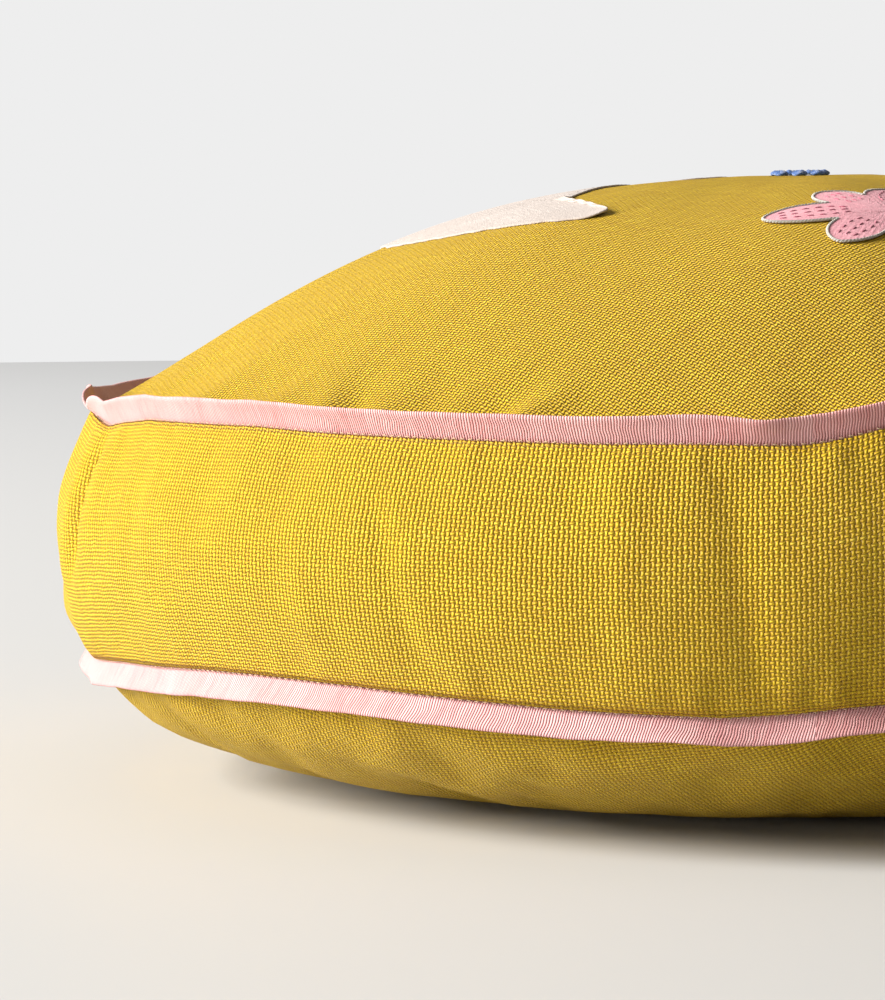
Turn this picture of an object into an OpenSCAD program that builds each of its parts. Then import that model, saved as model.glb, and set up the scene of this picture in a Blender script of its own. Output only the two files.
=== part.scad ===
// Round boxed floor cushion: linen cover with flanged grosgrain seams, a zip at the
// back of the side band, stitched felt flowers on the crown, and a separate stuffed insert.
// Origin: middle of the flat that rests on the floor. +Z is up, the zip is at +Y.

/* [Cushion] */
// Radius of the top seam
seam_r = 290; // [240:1:350]
// How much wider the bottom seam is than the top seam, in radius
seam_flare = 4; // [0:0.5:10]
// Height of the side band, seam to seam
band_h = 92; // [74:1:130]
// How far the side band bulges out past its seams
band_bulge = 13; // [8:0.5:20]
// Height of the crown above the top seam
dome_h = 86; // [60:1:120]
// Height of the bottom seam above the floor
base_h = 56; // [40:1:80]
// Radius of the flat that rests on the floor
rest_r = 148; // [100:1:200]

/* [Cloth and seams] */
// Thickness of the linen cover cloth
cloth_t = 1; // [0.7:0.05:1.3]
// Gap left between neighbouring layers of cloth
layer_gap = 0.12; // [0.08:0.01:0.2]
// Depth of the seam allowances inside the cover
allowance = 10; // [7:0.5:14]
// Depth of the folded hems beside the zip
hem = 8; // [6:0.5:9]
// Thickness of the sewing thread
thread_d = 0.6; // [0.4:0.05:0.8]

/* [Ribbon] */
// Thickness of the grosgrain ribbon, folded double
ribbon_t = 1; // [0.7:0.05:1.3]
// Width of ribbon that shows outside the seam
ribbon_show = 11.2; // [7:0.1:15]
// Angle at which the ribbons stand off level, in degrees
ribbon_lift = 65; // [50:1:75]

/* [Zip] */
// Angle of the band that the zip opening takes up, in degrees
zip_angle = 100; // [60:1:120]
// Gap between the two hemmed edges, where the zip shows
zip_window = 11.2; // [11:0.1:13]
// Width of each zip tape
tape_w = 12; // [10:0.5:14]
// Thickness of the zip tape
tape_t = 0.6; // [0.4:0.05:0.8]
// Diameter of each row of coil
coil_d = 2.6; // [2:0.1:2.8]
// Gap between the two rows, where the slider's neck runs
coil_gap = 1.6; // [1.4:0.1:2]
// Length of the slider
slider_l = 12; // [9:0.5:15]
// Thickness of the slider's plates
plate_t = 1.2; // [1:0.1:1.5]
// Running clearance around everything that the slider passes
zip_clear = 0.3; // [0.25:0.05:0.4]
// Length of the pull tab
pull_l = 28; // [20:1:36]
// Thickness of the pull tab
pull_t = 1.4; // [1:0.1:1.6]

/* [Insert] */
// Thickness of the calico insert cover
calico_t = 0.6; // [0.4:0.05:0.8]
// Space between the side of the insert and the outside of the band
insert_gap = 8; // [7.5:0.1:11]
// Space between the insert and the cover at the crown and the floor
insert_slack = 1; // [0.6:0.1:2]

/* [Felt flowers] */
// Thickness of the felt
felt_t = 1.2; // [0.8:0.1:2]
// Space between the felt and the cloth under it
felt_gap = 0.15; // [0.12:0.01:0.3]
// Size of the cream flower, 1 as drawn
cream_scale = 1; // [0.8:0.05:1.1]
// Distance from the pink flower's middle to the tip of its longest petal
pink_r = 46; // [38:1:54]
// Thickness of the cord around the pink flower
cord_d = 1.6; // [1:0.1:2]
// Width of each blue knot
knot_w = 7.4; // [5:0.1:8]
// Height of each blue knot
knot_h = 2.8; // [2:0.1:4]

/* [Hidden] */

$fn = 96;

// Heights of the seams, the crown and the zip
bottom_seam_z = base_h;
top_seam_z = base_h + band_h;
crown_z = top_seam_z + dome_h;
zip_z = base_h + band_h / 2;
bottom_seam_r = seam_r + seam_flare;

// Layers of the seam stack, each as the depth of its middle below the band's outer face
level_band = cloth_t / 2;
level_turned = level_band + cloth_t + layer_gap;
level_ribbon = level_turned + (cloth_t + ribbon_t) / 2 + layer_gap;
level_panel = level_ribbon + (ribbon_t + cloth_t) / 2 + layer_gap;
level_tape = level_turned + (cloth_t + tape_t) / 2 + 2 * layer_gap;

// How far inside the seam the panels' edges lie, so that the ribbon's root clears them
panel_lip = 0.9;
stack_reach = level_panel - cloth_t / 2 + panel_lip;
root_rise = 0.5;

// Shape of the crown: z falls as (1 - u^dome_p)^dome_q, where u runs from 0 in the middle to 1 at the edge
dome_p = 2.63;
dome_q = 1.23;

// Numbers of steps along the profiles
dome_steps = 36;
band_steps = 20;
base_steps = 20;
turn_steps = 5;
crown_step = 7;

// Zip, from one end stop to the other, as angles round the cushion with 90 at the back
mid_r = (seam_r + bottom_seam_r) / 2 + band_bulge;
join_from = 90 - zip_angle / 2;
join_to = 90 + zip_angle / 2;
deg_per_mm = 180 / (PI * mid_r);
stop_inset = 2;
coil_from = join_from + stop_inset;
coil_to = join_to - stop_inset;
stop_l = 3.6;
stop_gap = 0.3;
slider_from = coil_from + stop_gap * deg_per_mm;
slider_to = slider_from + slider_l * deg_per_mm;
slider_mid = (slider_from + slider_to) / 2;

// Zip radii and half widths at the middle of the band
tape_r = mid_r - level_tape;
coil_z = (coil_gap + coil_d) / 2;
tape_edge = coil_gap / 2 + coil_d + 0.1;
slider_w = zip_window - 4 * zip_clear;
rim_w = slider_w / 2 - tape_edge - 0.4;
plate_in_r = tape_r - coil_d / 2 - zip_clear - plate_t;
plate_out_r = tape_r + coil_d / 2 + zip_clear;
plate_top_r = plate_out_r + plate_t;
neck_w = coil_gap - 2 * zip_clear;
neck_l = 2.6;
rim_drop = 0.6;

// Slider's crown and the pull that hangs in it
pin_d = 1.6;
pin_r = plate_top_r + zip_clear + pin_d / 2 + 0.3;
crown_w = 2.4;
crown_leg = 1.2;
crown_open_l = 6;
crown_top_r = pin_r + pin_d / 2 + zip_clear;
crown_t = 1;
eye_w = 2 * (crown_w / 2 + zip_clear);
arm_w = 1.4;
pull_w = eye_w + 2 * arm_w;
pull_end_w = pull_w + 2;
pull_eye_l = 7;
pull_hole_d = 3;

// Insert
insert_top_z = top_seam_z - 5;
insert_bottom_z = bottom_seam_z + 5;
insert_crown_z = crown_z - cloth_t - insert_slack;
insert_floor_z = cloth_t + insert_slack;
insert_rest_r = rest_r - 2;
fill_gap = 0.2;

// Cream flower: corners as x, y and the rise of the curve to the next corner
cream_corners = [
    [-168, -33, 11], [-90, -98, 2], [-81, -93, -1], [-99, -49, -2], [-79, 0, 2],
    [-66, 56, 7], [8, 98, 12], [-79, 126, 12], [-134, 176, 14], [-196, 132, 12],
    [-236, 88, 7], [-176, 52, 2]
];
cream_middle = [-138, 40];
cream_steps = 4;
cream_stitch_inset = 4;
cream_stitch_pitch = 9;
cream_stitch_margin = 10;

// Pink flower: blunt petals round its middle, with lengths as shares of the longest
pink_at = [29, -124];
pink_turn = 187;
pink_lengths = [1, 0.88, 0.95, 0.9, 0.97, 0.86, 0.76];
pink_petals = len(pink_lengths);
pink_notch_r = 0.43 * pink_r;
pink_steps = 6;
pink_swell = 0.6;

// Blue knots: a ring round a middle knot, on the crown
knots_at = [-9, 9];
knot_count = 7;
knot_ring_r = 1.25 * knot_w;
knot_steps = 6;

// Stitches
stitch_l = 3.2;
stitch_d = 0.8;

/* Profiles, as points [radius, height] that run from the crown to the floor, so inward is on their right */

// Height of the crown panel's outer face at radius r
function dome_z(r, edge_r = seam_r - stack_reach, edge_z = top_seam_z, top_z = crown_z) =
    edge_z + (top_z - edge_z) * pow(max(0, 1 - pow(r / edge_r, dome_p)), dome_q);

function dome_path(edge_r, edge_z, top_z) = [
    for (i = [0 : dome_steps])
        let (r = edge_r * sin(90 * i / dome_steps))
        [r, dome_z(r, edge_r, edge_z, top_z)]
];

// Place on the band's outer face at height z, moved inward by depth along the face's normal
function band_r(z) =
    let (s = (z - bottom_seam_z) / band_h)
    bottom_seam_r - seam_flare * s + 4 * band_bulge * s * (1 - s);
function band_slope(z) =
    let (s = (z - bottom_seam_z) / band_h)
    (4 * band_bulge * (1 - 2 * s) - seam_flare) / band_h;
function band_at(z, depth) =
    let (k = band_slope(z))
    [band_r(z), z] + depth / norm([1, k]) * [-1, k];
function band_run(from_z, to_z, depth, steps) =
    [for (i = [0 : steps]) band_at(from_z + (to_z - from_z) * i / steps, depth)];

// Quarter ellipse from the bottom seam down to the flat
function base_path(edge_r, edge_z, flat_r, floor_z) = concat(
    [
        for (i = [0 : base_steps])
            let (a = 90 * i / base_steps)
            [
                flat_r + (edge_r - flat_r) * cos(a),
                edge_z - (edge_z - floor_z) * sin(a)
            ]
    ],
    [[0, floor_z]]
);

// A line moved sideways by depth, to its right, with mitred corners
function right_of(p, q) = let (d = q - p) [d[1], -d[0]] / norm(d);
function shift_at(line, i) =
    let (
        last = len(line) - 1,
        before = i > 0 ? right_of(line[i - 1], line[i]) : undef,
        after = i < last ? right_of(line[i], line[i + 1]) : undef,
        upright = line[i][0] == 0
    )
    upright ? [0, i == 0 ? -1 : 1]
        : i == 0 ? after
        : i == last ? before
        : (before + after) / (1 + before * after);
function shifted(line, depth) =
    [for (i = [0 : len(line) - 1]) line[i] + depth * shift_at(line, i)];
function backwards(line) = [for (i = [len(line) - 1 : -1 : 0]) line[i]];

// Closed outline of a layer t thick along a line, from depth on the right of it
function layer(line, t, depth = 0) =
    concat(shifted(line, depth), backwards(shifted(line, depth + t)));

// Closed outline moved outward by d; the outline runs anticlockwise
function loop_shifted(loop, d) = [
    for (i = [0 : len(loop) - 1])
        let (
            n = len(loop),
            before = right_of(loop[(i + n - 1) % n], loop[i]),
            after = right_of(loop[i], loop[(i + 1) % n])
        )
        loop[i] + d * (before + after) / (1 + before * after)
];

/* Outlines of the flowers, seen from above */

function curve_to(a, b, rise, steps) =
    let (c = (a + b) / 2 + 2 * rise * right_of(a, b))
    [
        for (i = [0 : steps - 1])
            let (t = i / steps)
            (1 - t) * (1 - t) * a + 2 * t * (1 - t) * c + t * t * b
    ];
function cream_corner(i) =
    let (c = cream_corners[i % len(cream_corners)])
    cream_middle + cream_scale * ([c[0], c[1]] - cream_middle);
function cream_outline() = [
    for (i = [0 : len(cream_corners) - 1])
        for (
            p = curve_to(
                cream_corner(i), cream_corner(i + 1), cream_corners[i][2], cream_steps
            )
        )
            p
];

// Half width of a petal at a share t of the way from the notch to the tip
function petal_half(t) =
    (pink_notch_r * tan(180 / pink_petals) + pink_swell * sin(180 * t))
    * pow(1 - pow(t, 4), 0.4);
function petal_point(k, t, side) =
    let (
        a = pink_turn + 360 * k / pink_petals,
        along = pink_notch_r + (pink_r * pink_lengths[k] - pink_notch_r) * t,
        across = side * petal_half(t)
    )
    pink_at + [along * cos(a) - across * sin(a), along * sin(a) + across * cos(a)];
function pink_outline() = [
    for (k = [0 : pink_petals - 1])
        for (i = [0 : 2 * pink_steps - 1])
            let (share = i <= pink_steps ? i / pink_steps : 2 - i / pink_steps)
            petal_point(k, sin(90 * share), i <= pink_steps ? -1 : 1)
];

/* Building blocks */

module ring(outline) {
    rotate_extrude()
        polygon(outline);
}

// Part of a ring, between two angles
module arc_of(outline, from_a, to_a) {
    rotate_extrude(angle = to_a - from_a, start = from_a)
        polygon(outline);
}

// Box in ring coordinates: radius, height and angle ranges
module arc_block(r0, r1, z0, z1, from_a, to_a) {
    arc_of([[r0, z0], [r1, z0], [r1, z1], [r0, z1]], from_a, to_a);
}

module thread_ring(r, z) {
    rotate_extrude()
        translate([r, z])
            circle(d = thread_d, $fn = 24);
}

// Layer of an outline that lies on the crown, between two heights above the cloth
module on_crown(outline, lift, t) {
    reach = [for (p = outline) norm(p)];
    from_r = max(0, min(reach) - 3 * crown_step);
    to_r = max(reach) + 1;
    steps = ceil((to_r - from_r) / crown_step);
    faces = [
        for (i = [0 : steps])
            let (r = from_r + (to_r - from_r) * i / steps)
            [r, dome_z(r)]
    ];
    low = [for (p = faces) p + [0, lift]];
    high = [for (p = faces) p + [0, lift + t]];
    intersection() {
        ring(concat(low, backwards(high)));
        translate([0, 0, top_seam_z])
            linear_extrude(dome_h + lift + t + 1)
                polygon(outline);
    }
}

// Round rod between two points
module rod(a, b, d) {
    v = b - a;
    translate(a)
        rotate([0, acos(v[2] / norm(v)), atan2(v[1], v[0])])
            cylinder(h = norm(v), d = d, $fn = 16);
}

// Point over the crown cloth at a plan position
function over_crown(p, lift) = [p[0], p[1], dome_z(norm(p)) + lift];

// One stitch lying on the felt, centred on a plan position and pointing along a plan direction
module stitch(p, dir) {
    half = stitch_l / 2 * dir;
    lift = felt_gap + felt_t + stitch_d / 2 + 0.35;
    rod(over_crown(p - half, lift), over_crown(p + half, lift), stitch_d);
}

/* Cover */

module top_panel() {
    crown = shifted(
        dome_path(seam_r - stack_reach, top_seam_z, crown_z), cloth_t / 2
    );
    turned = band_run(top_seam_z, top_seam_z - allowance, level_panel, turn_steps);
    color("#c9b12e")
        ring(layer(concat(crown, turned), cloth_t, -cloth_t / 2));
}

module bottom_panel() {
    turned = band_run(
        bottom_seam_z + allowance, bottom_seam_z, level_panel, turn_steps
    );
    base = shifted(
        base_path(bottom_seam_r - stack_reach, bottom_seam_z, rest_r, 0), cloth_t / 2
    );
    color("#b79f26")
        ring(layer(concat(turned, base), cloth_t, -cloth_t / 2));
}

// Middle line of a stretch of band, turned in at both ends by the given depths
function band_line(top_z, top_turn, bottom_z, bottom_turn, steps) = concat(
    band_run(top_z - top_turn, top_z - cloth_t / 2, level_turned, turn_steps),
    band_run(top_z - cloth_t / 2, bottom_z + cloth_t / 2, level_band, steps),
    band_run(bottom_z + cloth_t / 2, bottom_z + bottom_turn, level_turned, turn_steps)
);

module front_band() {
    outline = layer(
        band_line(top_seam_z, allowance, bottom_seam_z, allowance, band_steps),
        cloth_t, -cloth_t / 2
    );
    color("#c4ab2b")
        arc_of(outline, join_to, join_from + 360);
}

module zip_band(top_z, top_turn, bottom_z, bottom_turn) {
    join_gap = 0.3 * deg_per_mm;
    outline = layer(
        band_line(top_z, top_turn, bottom_z, bottom_turn, band_steps / 2),
        cloth_t, -cloth_t / 2
    );
    color("#bda428")
        arc_of(outline, join_from + join_gap, join_to - join_gap);
}

module zip_band_upper() {
    zip_band(top_seam_z, allowance, zip_z + zip_window / 2, hem);
}

module zip_band_lower() {
    zip_band(zip_z - zip_window / 2, hem, bottom_seam_z, allowance);
}

// A ribbon runs from its free edge to the seam and on between the turned cloth layers
function ribbon_line(seam_z, up) =
    let (
        k = band_slope(seam_z),
        root = band_at(seam_z, level_ribbon) + up * root_rise / norm([1, k]) * [k, 1],
        free = root + ribbon_show * [cos(ribbon_lift), up * sin(ribbon_lift)]
    )
    concat(
        [free, root],
        band_run(seam_z - up * 1.2, seam_z - up * allowance, level_ribbon, turn_steps)
    );

module top_ribbon() {
    color("#eeb4b2")
        ring(layer(ribbon_line(top_seam_z, 1), ribbon_t, -ribbon_t / 2));
}

module bottom_ribbon() {
    color("#e9aaa9")
        ring(layer(ribbon_line(bottom_seam_z, -1), ribbon_t, -ribbon_t / 2));
}

module top_seam_thread() {
    color("#d9bd7a")
        thread_ring(seam_r + thread_d / 2 - 0.1, top_seam_z + thread_d / 2 + 0.15);
}

module bottom_seam_thread() {
    color("#d9bd7a")
        thread_ring(
            bottom_seam_r + thread_d / 2 - 0.1, bottom_seam_z - thread_d / 2 - 0.15
        );
}

// One line of stitches across the band at each end of the zip
module band_join_thread() {
    seam = layer(
        band_run(top_seam_z - 3, bottom_seam_z + 3, -layer_gap / 2, band_steps),
        thread_d / 2, -thread_d / 2
    );
    half_a = thread_d / 2 * deg_per_mm;
    color("#b39a2a")
        for (a = [join_from - 2 * half_a, join_to + 2 * half_a])
            arc_of(seam, a - half_a, a + half_a);
}

// Stitches that hold each hem to its zip tape, on the outside
module zip_topstitching() {
    color("#b39a2a")
        for (side = [-1, 1]) {
            z = zip_z + side * (zip_window / 2 + hem / 2);
            rotate_extrude(angle = zip_angle - 2, start = join_from + 1)
                translate(band_at(z, -thread_d / 2 - layer_gap / 2))
                    circle(d = thread_d, $fn = 24);
        }
}

/* Zip */

module zip_tape(side) {
    line = [
        for (i = [0 : turn_steps])
            let (z = zip_z + side * (tape_edge + tape_w * i / turn_steps))
            [band_r(z) - level_tape, z]
    ];
    face = [for (p = line) p + [tape_t / 2, 0]];
    back = [for (p = line) p - [tape_t / 2, 0]];
    color("#cdb63c")
        arc_of(concat(face, backwards(back)), join_from + 0.5, join_to - 0.5);
}

module zip_tape_upper() {
    zip_tape(1);
}

module zip_tape_lower() {
    zip_tape(-1);
}

module zip_coil(side) {
    color("#d8c560")
        rotate_extrude(angle = coil_to - coil_from, start = coil_from)
            translate([tape_r, zip_z + side * coil_z])
                circle(d = coil_d, $fn = 32);
}

module zip_coil_upper() {
    zip_coil(1);
}

module zip_coil_lower() {
    zip_coil(-1);
}

// Clamps on the tapes, past the ends of the coil
module stop_block(from_z, to_z, from_a) {
    stop_half = coil_d / 2 + 0.1;
    arc_block(
        tape_r - stop_half, tape_r + stop_half, zip_z + from_z, zip_z + to_z,
        from_a, from_a + stop_l * deg_per_mm
    );
}

module zip_top_stops() {
    from_a = coil_from - (stop_l + layer_gap) * deg_per_mm;
    color("#b9bcc0") {
        stop_block(coil_gap / 2, tape_edge - layer_gap / 2, from_a);
        stop_block(-tape_edge + layer_gap / 2, -coil_gap / 2, from_a);
    }
}

module zip_bottom_stop() {
    half = tape_edge - layer_gap / 2;
    color("#b9bcc0")
        stop_block(-half, half, coil_to + layer_gap * deg_per_mm);
}

module zip_slider() {
    half_w = slider_w / 2;
    leg_a = crown_leg * deg_per_mm;
    open_a = crown_open_l / 2 * deg_per_mm;
    color("#c3c6ca") {
        // Outer and inner plates, and the neck that joins them between the coils
        arc_block(
            plate_out_r, plate_top_r, zip_z - half_w, zip_z + half_w,
            slider_from, slider_to
        );
        arc_block(
            plate_in_r, plate_in_r + plate_t, zip_z - half_w, zip_z + half_w,
            slider_from, slider_to
        );
        arc_block(
            plate_in_r + plate_t / 2, plate_out_r + plate_t / 2,
            zip_z - neck_w / 2, zip_z + neck_w / 2,
            slider_to - neck_l * deg_per_mm, slider_to
        );
        // Rims that close in on the tape from both sides
        for (side = [-1, 1]) {
            z0 = min(side * half_w, side * (half_w - rim_w));
            arc_block(
                plate_out_r - rim_drop, plate_out_r + plate_t / 2,
                zip_z + z0, zip_z + z0 + rim_w, slider_from, slider_to
            );
            arc_block(
                plate_in_r + plate_t / 2, plate_in_r + plate_t + rim_drop,
                zip_z + z0, zip_z + z0 + rim_w, slider_from, slider_to
            );
        }
        // Crown that holds the pull
        arc_block(
            crown_top_r, crown_top_r + crown_t,
            zip_z - crown_w / 2, zip_z + crown_w / 2,
            slider_mid - open_a - leg_a, slider_mid + open_a + leg_a
        );
        for (a = [slider_mid - open_a - leg_a, slider_mid + open_a])
            arc_block(
                plate_top_r - plate_t / 2, crown_top_r + crown_t / 2,
                zip_z - crown_w / 2, zip_z + crown_w / 2, a, a + leg_a
            );
    }
}

// Flat tab with an eye at one end, lying back along the zip from its pin
module zip_pull() {
    rotate([0, 0, slider_mid])
        translate([pin_r, 0, zip_z])
            color("#c3c6ca") {
                cylinder(h = pull_w, d = pin_d, center = true);
                difference() {
                    translate([-pull_t / 2, 0, 0])
                        rotate([0, 90, 0])
                            linear_extrude(pull_t)
                                polygon([
                                    [-pull_w / 2, 0], [-pull_w / 2, -pull_eye_l],
                                    [-pull_end_w / 2, -pull_l],
                                    [pull_end_w / 2, -pull_l],
                                    [pull_w / 2, -pull_eye_l], [pull_w / 2, 0]
                                ]);
                    translate([0, -pull_eye_l / 2 + 1, 0])
                        cube([2 * pull_t, pull_eye_l, eye_w], center = true);
                    translate([0, -pull_l + pull_hole_d * 1.2, 0])
                        rotate([0, 90, 0])
                            cylinder(h = 2 * pull_t, d = pull_hole_d, center = true);
                }
            }
}

/* Insert */

// Profiles of the insert, drawn in by the given amount
function insert_dome(in) = dome_path(
    band_r(insert_top_z) - insert_gap - in, insert_top_z - in, insert_crown_z - in
);
function insert_wall(in) = [
    for (i = [0 : band_steps])
        let (
            top = insert_top_z - max(in, calico_t),
            bottom = insert_bottom_z + max(in, calico_t),
            z = top + (bottom - top) * i / band_steps
        )
        [band_r(z) - insert_gap - in, z]
];
function insert_base(in) = base_path(
    band_r(insert_bottom_z) - insert_gap - in, insert_bottom_z + in,
    insert_rest_r, insert_floor_z + in
);

module insert_top() {
    color("#efe9dc")
        ring(concat(insert_dome(0), backwards(insert_dome(calico_t))));
}

module insert_side() {
    color("#ece5d6")
        ring(concat(insert_wall(0), backwards(insert_wall(calico_t))));
}

module insert_bottom() {
    color("#efe9dc")
        ring(concat(insert_base(0), backwards(insert_base(calico_t))));
}

module insert_seam_thread() {
    color("#f4f1ea") {
        thread_ring(
            band_r(insert_top_z) - insert_gap + thread_d / 2 + 0.2, insert_top_z
        );
        thread_ring(
            band_r(insert_bottom_z) - insert_gap + thread_d / 2 + 0.2, insert_bottom_z
        );
    }
}

module filling() {
    in = calico_t + fill_gap;
    color("#fbfaf6")
        ring(concat(insert_dome(in), insert_wall(in), insert_base(in)));
}

/* Flowers */

module cream_flower() {
    color("#ece2cf")
        on_crown(cream_outline(), felt_gap, felt_t);
}

// Running stitches inside every side of the flower, clear of its corners
module cream_flower_stitches() {
    color("#f7f1e4")
        for (i = [0 : len(cream_corners) - 1]) {
            a = cream_corner(i);
            b = cream_corner(i + 1);
            side = curve_to(a, b, cream_corners[i][2], 40);
            room = norm(b - a) - 2 * cream_stitch_margin;
            count = floor(room / cream_stitch_pitch);
            if (room > stitch_l)
                for (k = [0 : count]) {
                    share = (cream_stitch_margin + room * (k + 0.5) / (count + 1))
                        / norm(b - a);
                    j = min(38, floor(40 * share));
                    dir = (side[j + 1] - side[j]) / norm(side[j + 1] - side[j]);
                    stitch(
                        side[j] - cream_stitch_inset * right_of(side[j], side[j + 1]),
                        dir
                    );
                }
        }
}

module pink_flower() {
    color("#e6a3ad")
        on_crown(
            loop_shifted(pink_outline(), -cord_d / 2 - 0.05), felt_gap, felt_t
        );
}

module pink_flower_cord() {
    color("#f3e9d6")
        difference() {
            on_crown(loop_shifted(pink_outline(), cord_d / 2), felt_gap, cord_d);
            translate([0, 0, top_seam_z])
                linear_extrude(2 * dome_h)
                    polygon(loop_shifted(pink_outline(), -cord_d / 2));
        }
}

// Running stitches along every petal, in three rows
module pink_flower_stitches() {
    row_gap = 4.6;
    first = 0.42;
    step = 0.15;
    color("#c8657c")
        for (k = [0 : pink_petals - 1], row = [-1 : 1], i = [0 : 2]) {
            a = pink_turn + 360 * k / pink_petals;
            along = pink_r * pink_lengths[k] * (first + step * i);
            across = row * row_gap;
            stitch(
                pink_at
                + [along * cos(a) - across * sin(a), along * sin(a) + across * cos(a)],
                [cos(a), sin(a)]
            );
        }
}

// Squat round knots of yarn
module blue_knots() {
    half = [
        for (i = [0 : 2 * knot_steps])
            let (a = -90 + 90 * i / knot_steps)
            [max(0, knot_w / 2 * cos(a)), knot_h / 2 * (1 + sin(a))]
    ];
    color("#4773b8")
        for (k = [0 : knot_count]) {
            a = 360 * k / knot_count;
            out = k == knot_count ? 0 : knot_ring_r;
            translate(over_crown(knots_at + out * [cos(a), sin(a)], felt_gap))
                ring(half);
        }
}

top_panel();
bottom_panel();
front_band();
zip_band_upper();
zip_band_lower();
top_ribbon();
bottom_ribbon();
top_seam_thread();
bottom_seam_thread();
band_join_thread();
zip_topstitching();
zip_tape_upper();
zip_tape_lower();
zip_coil_upper();
zip_coil_lower();
zip_top_stops();
zip_bottom_stop();
zip_slider();
zip_pull();
insert_top();
insert_side();
insert_bottom();
insert_seam_thread();
filling();
cream_flower();
cream_flower_stitches();
pink_flower();
pink_flower_cord();
pink_flower_stitches();
blue_knots();
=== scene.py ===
import math

import bmesh
import bpy
import numpy as np
from mathutils import Matrix, Vector


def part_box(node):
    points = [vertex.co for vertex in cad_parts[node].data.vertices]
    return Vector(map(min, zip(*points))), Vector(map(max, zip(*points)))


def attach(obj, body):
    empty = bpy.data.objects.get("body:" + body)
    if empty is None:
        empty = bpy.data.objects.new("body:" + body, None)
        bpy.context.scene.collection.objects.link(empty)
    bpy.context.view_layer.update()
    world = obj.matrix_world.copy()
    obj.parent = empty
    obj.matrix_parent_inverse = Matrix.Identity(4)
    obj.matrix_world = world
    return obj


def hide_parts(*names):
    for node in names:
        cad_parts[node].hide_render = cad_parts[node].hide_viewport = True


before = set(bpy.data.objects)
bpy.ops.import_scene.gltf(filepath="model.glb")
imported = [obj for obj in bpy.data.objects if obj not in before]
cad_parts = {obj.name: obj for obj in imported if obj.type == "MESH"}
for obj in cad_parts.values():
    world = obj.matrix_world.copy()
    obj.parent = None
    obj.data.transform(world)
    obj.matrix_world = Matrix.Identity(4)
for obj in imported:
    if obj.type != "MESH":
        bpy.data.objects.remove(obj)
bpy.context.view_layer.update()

# A round boxed floor cushion. Lengths are metres. The turn t is the angle round the
# cushion from its front, so a point at radius r lies at (r sin t, -r cos t).

TAU = 2 * math.pi
MM = 0.001

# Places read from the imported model
top_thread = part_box("top_seam_thread")
low_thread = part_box("bottom_seam_thread")
TOP_R = top_thread[1].x - 0.5 * MM
TOP_Z = top_thread[0].z - 0.15 * MM
LOW_R = low_thread[1].x - 0.5 * MM
LOW_Z = low_thread[1].z + 0.15 * MM
CROWN_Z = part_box("top_panel")[1].z
BULGE = -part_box("front_band")[0].y - (TOP_R + LOW_R) / 2
ZIP_Z = (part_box("zip_slider")[0].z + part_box("zip_slider")[1].z) / 2
HEM_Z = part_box("zip_band_upper")[0].z - ZIP_Z
REST_R = 148 * MM

# Depths of the middles of the seam's layers under the band's outer face
CLOTH = 1.0 * MM
TURNED = 1.62 * MM
RIBBON = 2.74 * MM
PANEL = 3.86 * MM
LIP = 4.26 * MM
ALLOWANCE = 10 * MM


# ---------------------------------------------------------------- numbers along the turn

def ripple(t, low, high, seed, tilt=0.5):
    """A wavy line round the cushion: cosines of low to high whole waves, each with its own start and a
    height that falls as waves^-tilt, scaled to a spread of 1."""
    rng = np.random.default_rng(seed)
    waves = np.arange(low, high + 1)
    height = rng.normal(size=len(waves)) / waves**tilt
    start = rng.uniform(0, TAU, len(waves))
    line = (height * np.cos(np.asarray(t)[..., None] * waves + start)).sum(-1)
    return line / np.sqrt((height**2).sum() / 2)


def from_table(t, degrees, values):
    """Straight lines between the listed values, in degrees of turn, level past both ends."""
    return np.interp(np.degrees(t), degrees, values)


def near(t, centre, width):
    """A smooth hump, 1 at the centre and falling as exp(-(distance/width)^2), in degrees of turn."""
    gap = (np.degrees(t) - centre + 180) % 360 - 180
    return np.exp(-((gap / width) ** 2))


def fade(x, start, end):
    """0 before start, 1 after end, with a smooth S between them."""
    s = np.clip((np.asarray(x, float) - start) / (end - start), 0, 1)
    return s * s * (3 - 2 * s)


def turned(t):
    """The turn brought to between -180 and 180 degrees."""
    return (np.asarray(t) + math.pi) % TAU - math.pi


def on_arc(t, r, z):
    """Points at those turns, radii and heights."""
    return np.stack(np.broadcast_arrays(r * np.sin(t), -r * np.cos(t), z), -1)


def unit(v):
    """Vectors brought to a length of 1."""
    return v / np.linalg.norm(v, axis=-1, keepdims=True)


def away_from_zip(t):
    """1 at the front and sides, falling to 0 along the zip at the back."""
    return 1 - fade(np.abs(np.degrees(turned(t))), 104, 124)


def top_rise(t):
    """How far the top seam wanders up from level."""
    seen = from_table(
        turned(t),
        [-140, -120, -95, -84, -78, -73, -69, -65, -59, -51, -44, -37,
         -30, -22, -15, -8, -4, -1, 1, 3, 5, 9, 16, 30],
        [0, -3, -3.6, -2.6, -2.4, -4, -5, -2.6, 0.2, 0.8, 1.3, 0.2,
         -0.3, -0.8, -1.4, -1.2, -1.7, -1.8, -0.6, 1.5, 4, 4.5, 2, 0],
    )
    rest = 1.5 * ripple(t, 3, 9, 4) * fade(np.abs(np.degrees(turned(t) - 0.1)), 40, 70)
    rest = rest * fade(np.degrees(turned(t)), 15, 45)
    return (seen + rest) * MM * away_from_zip(t)


def low_rise(t):
    """How far the bottom seam wanders up from level."""
    seen = from_table(
        turned(t),
        [-110, -90, -73, -64, -56, -50, -44, -39, -34, -28, -22, -17, -11, -6, -1, 2, 5, 12, 25],
        [0, -3, -5.2, -1.5, 0.6, 2.4, 3.2, 3.1, 2.6, 1.2, -0.3, -1.7, -2.7, -3.4, -1.8, 0, 1, 1.5, 0],
    )
    rest = 1.6 * ripple(t, 3, 9, 8) * fade(np.degrees(turned(t)), 15, 45)
    return (seen + rest) * MM * away_from_zip(t)


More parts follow.
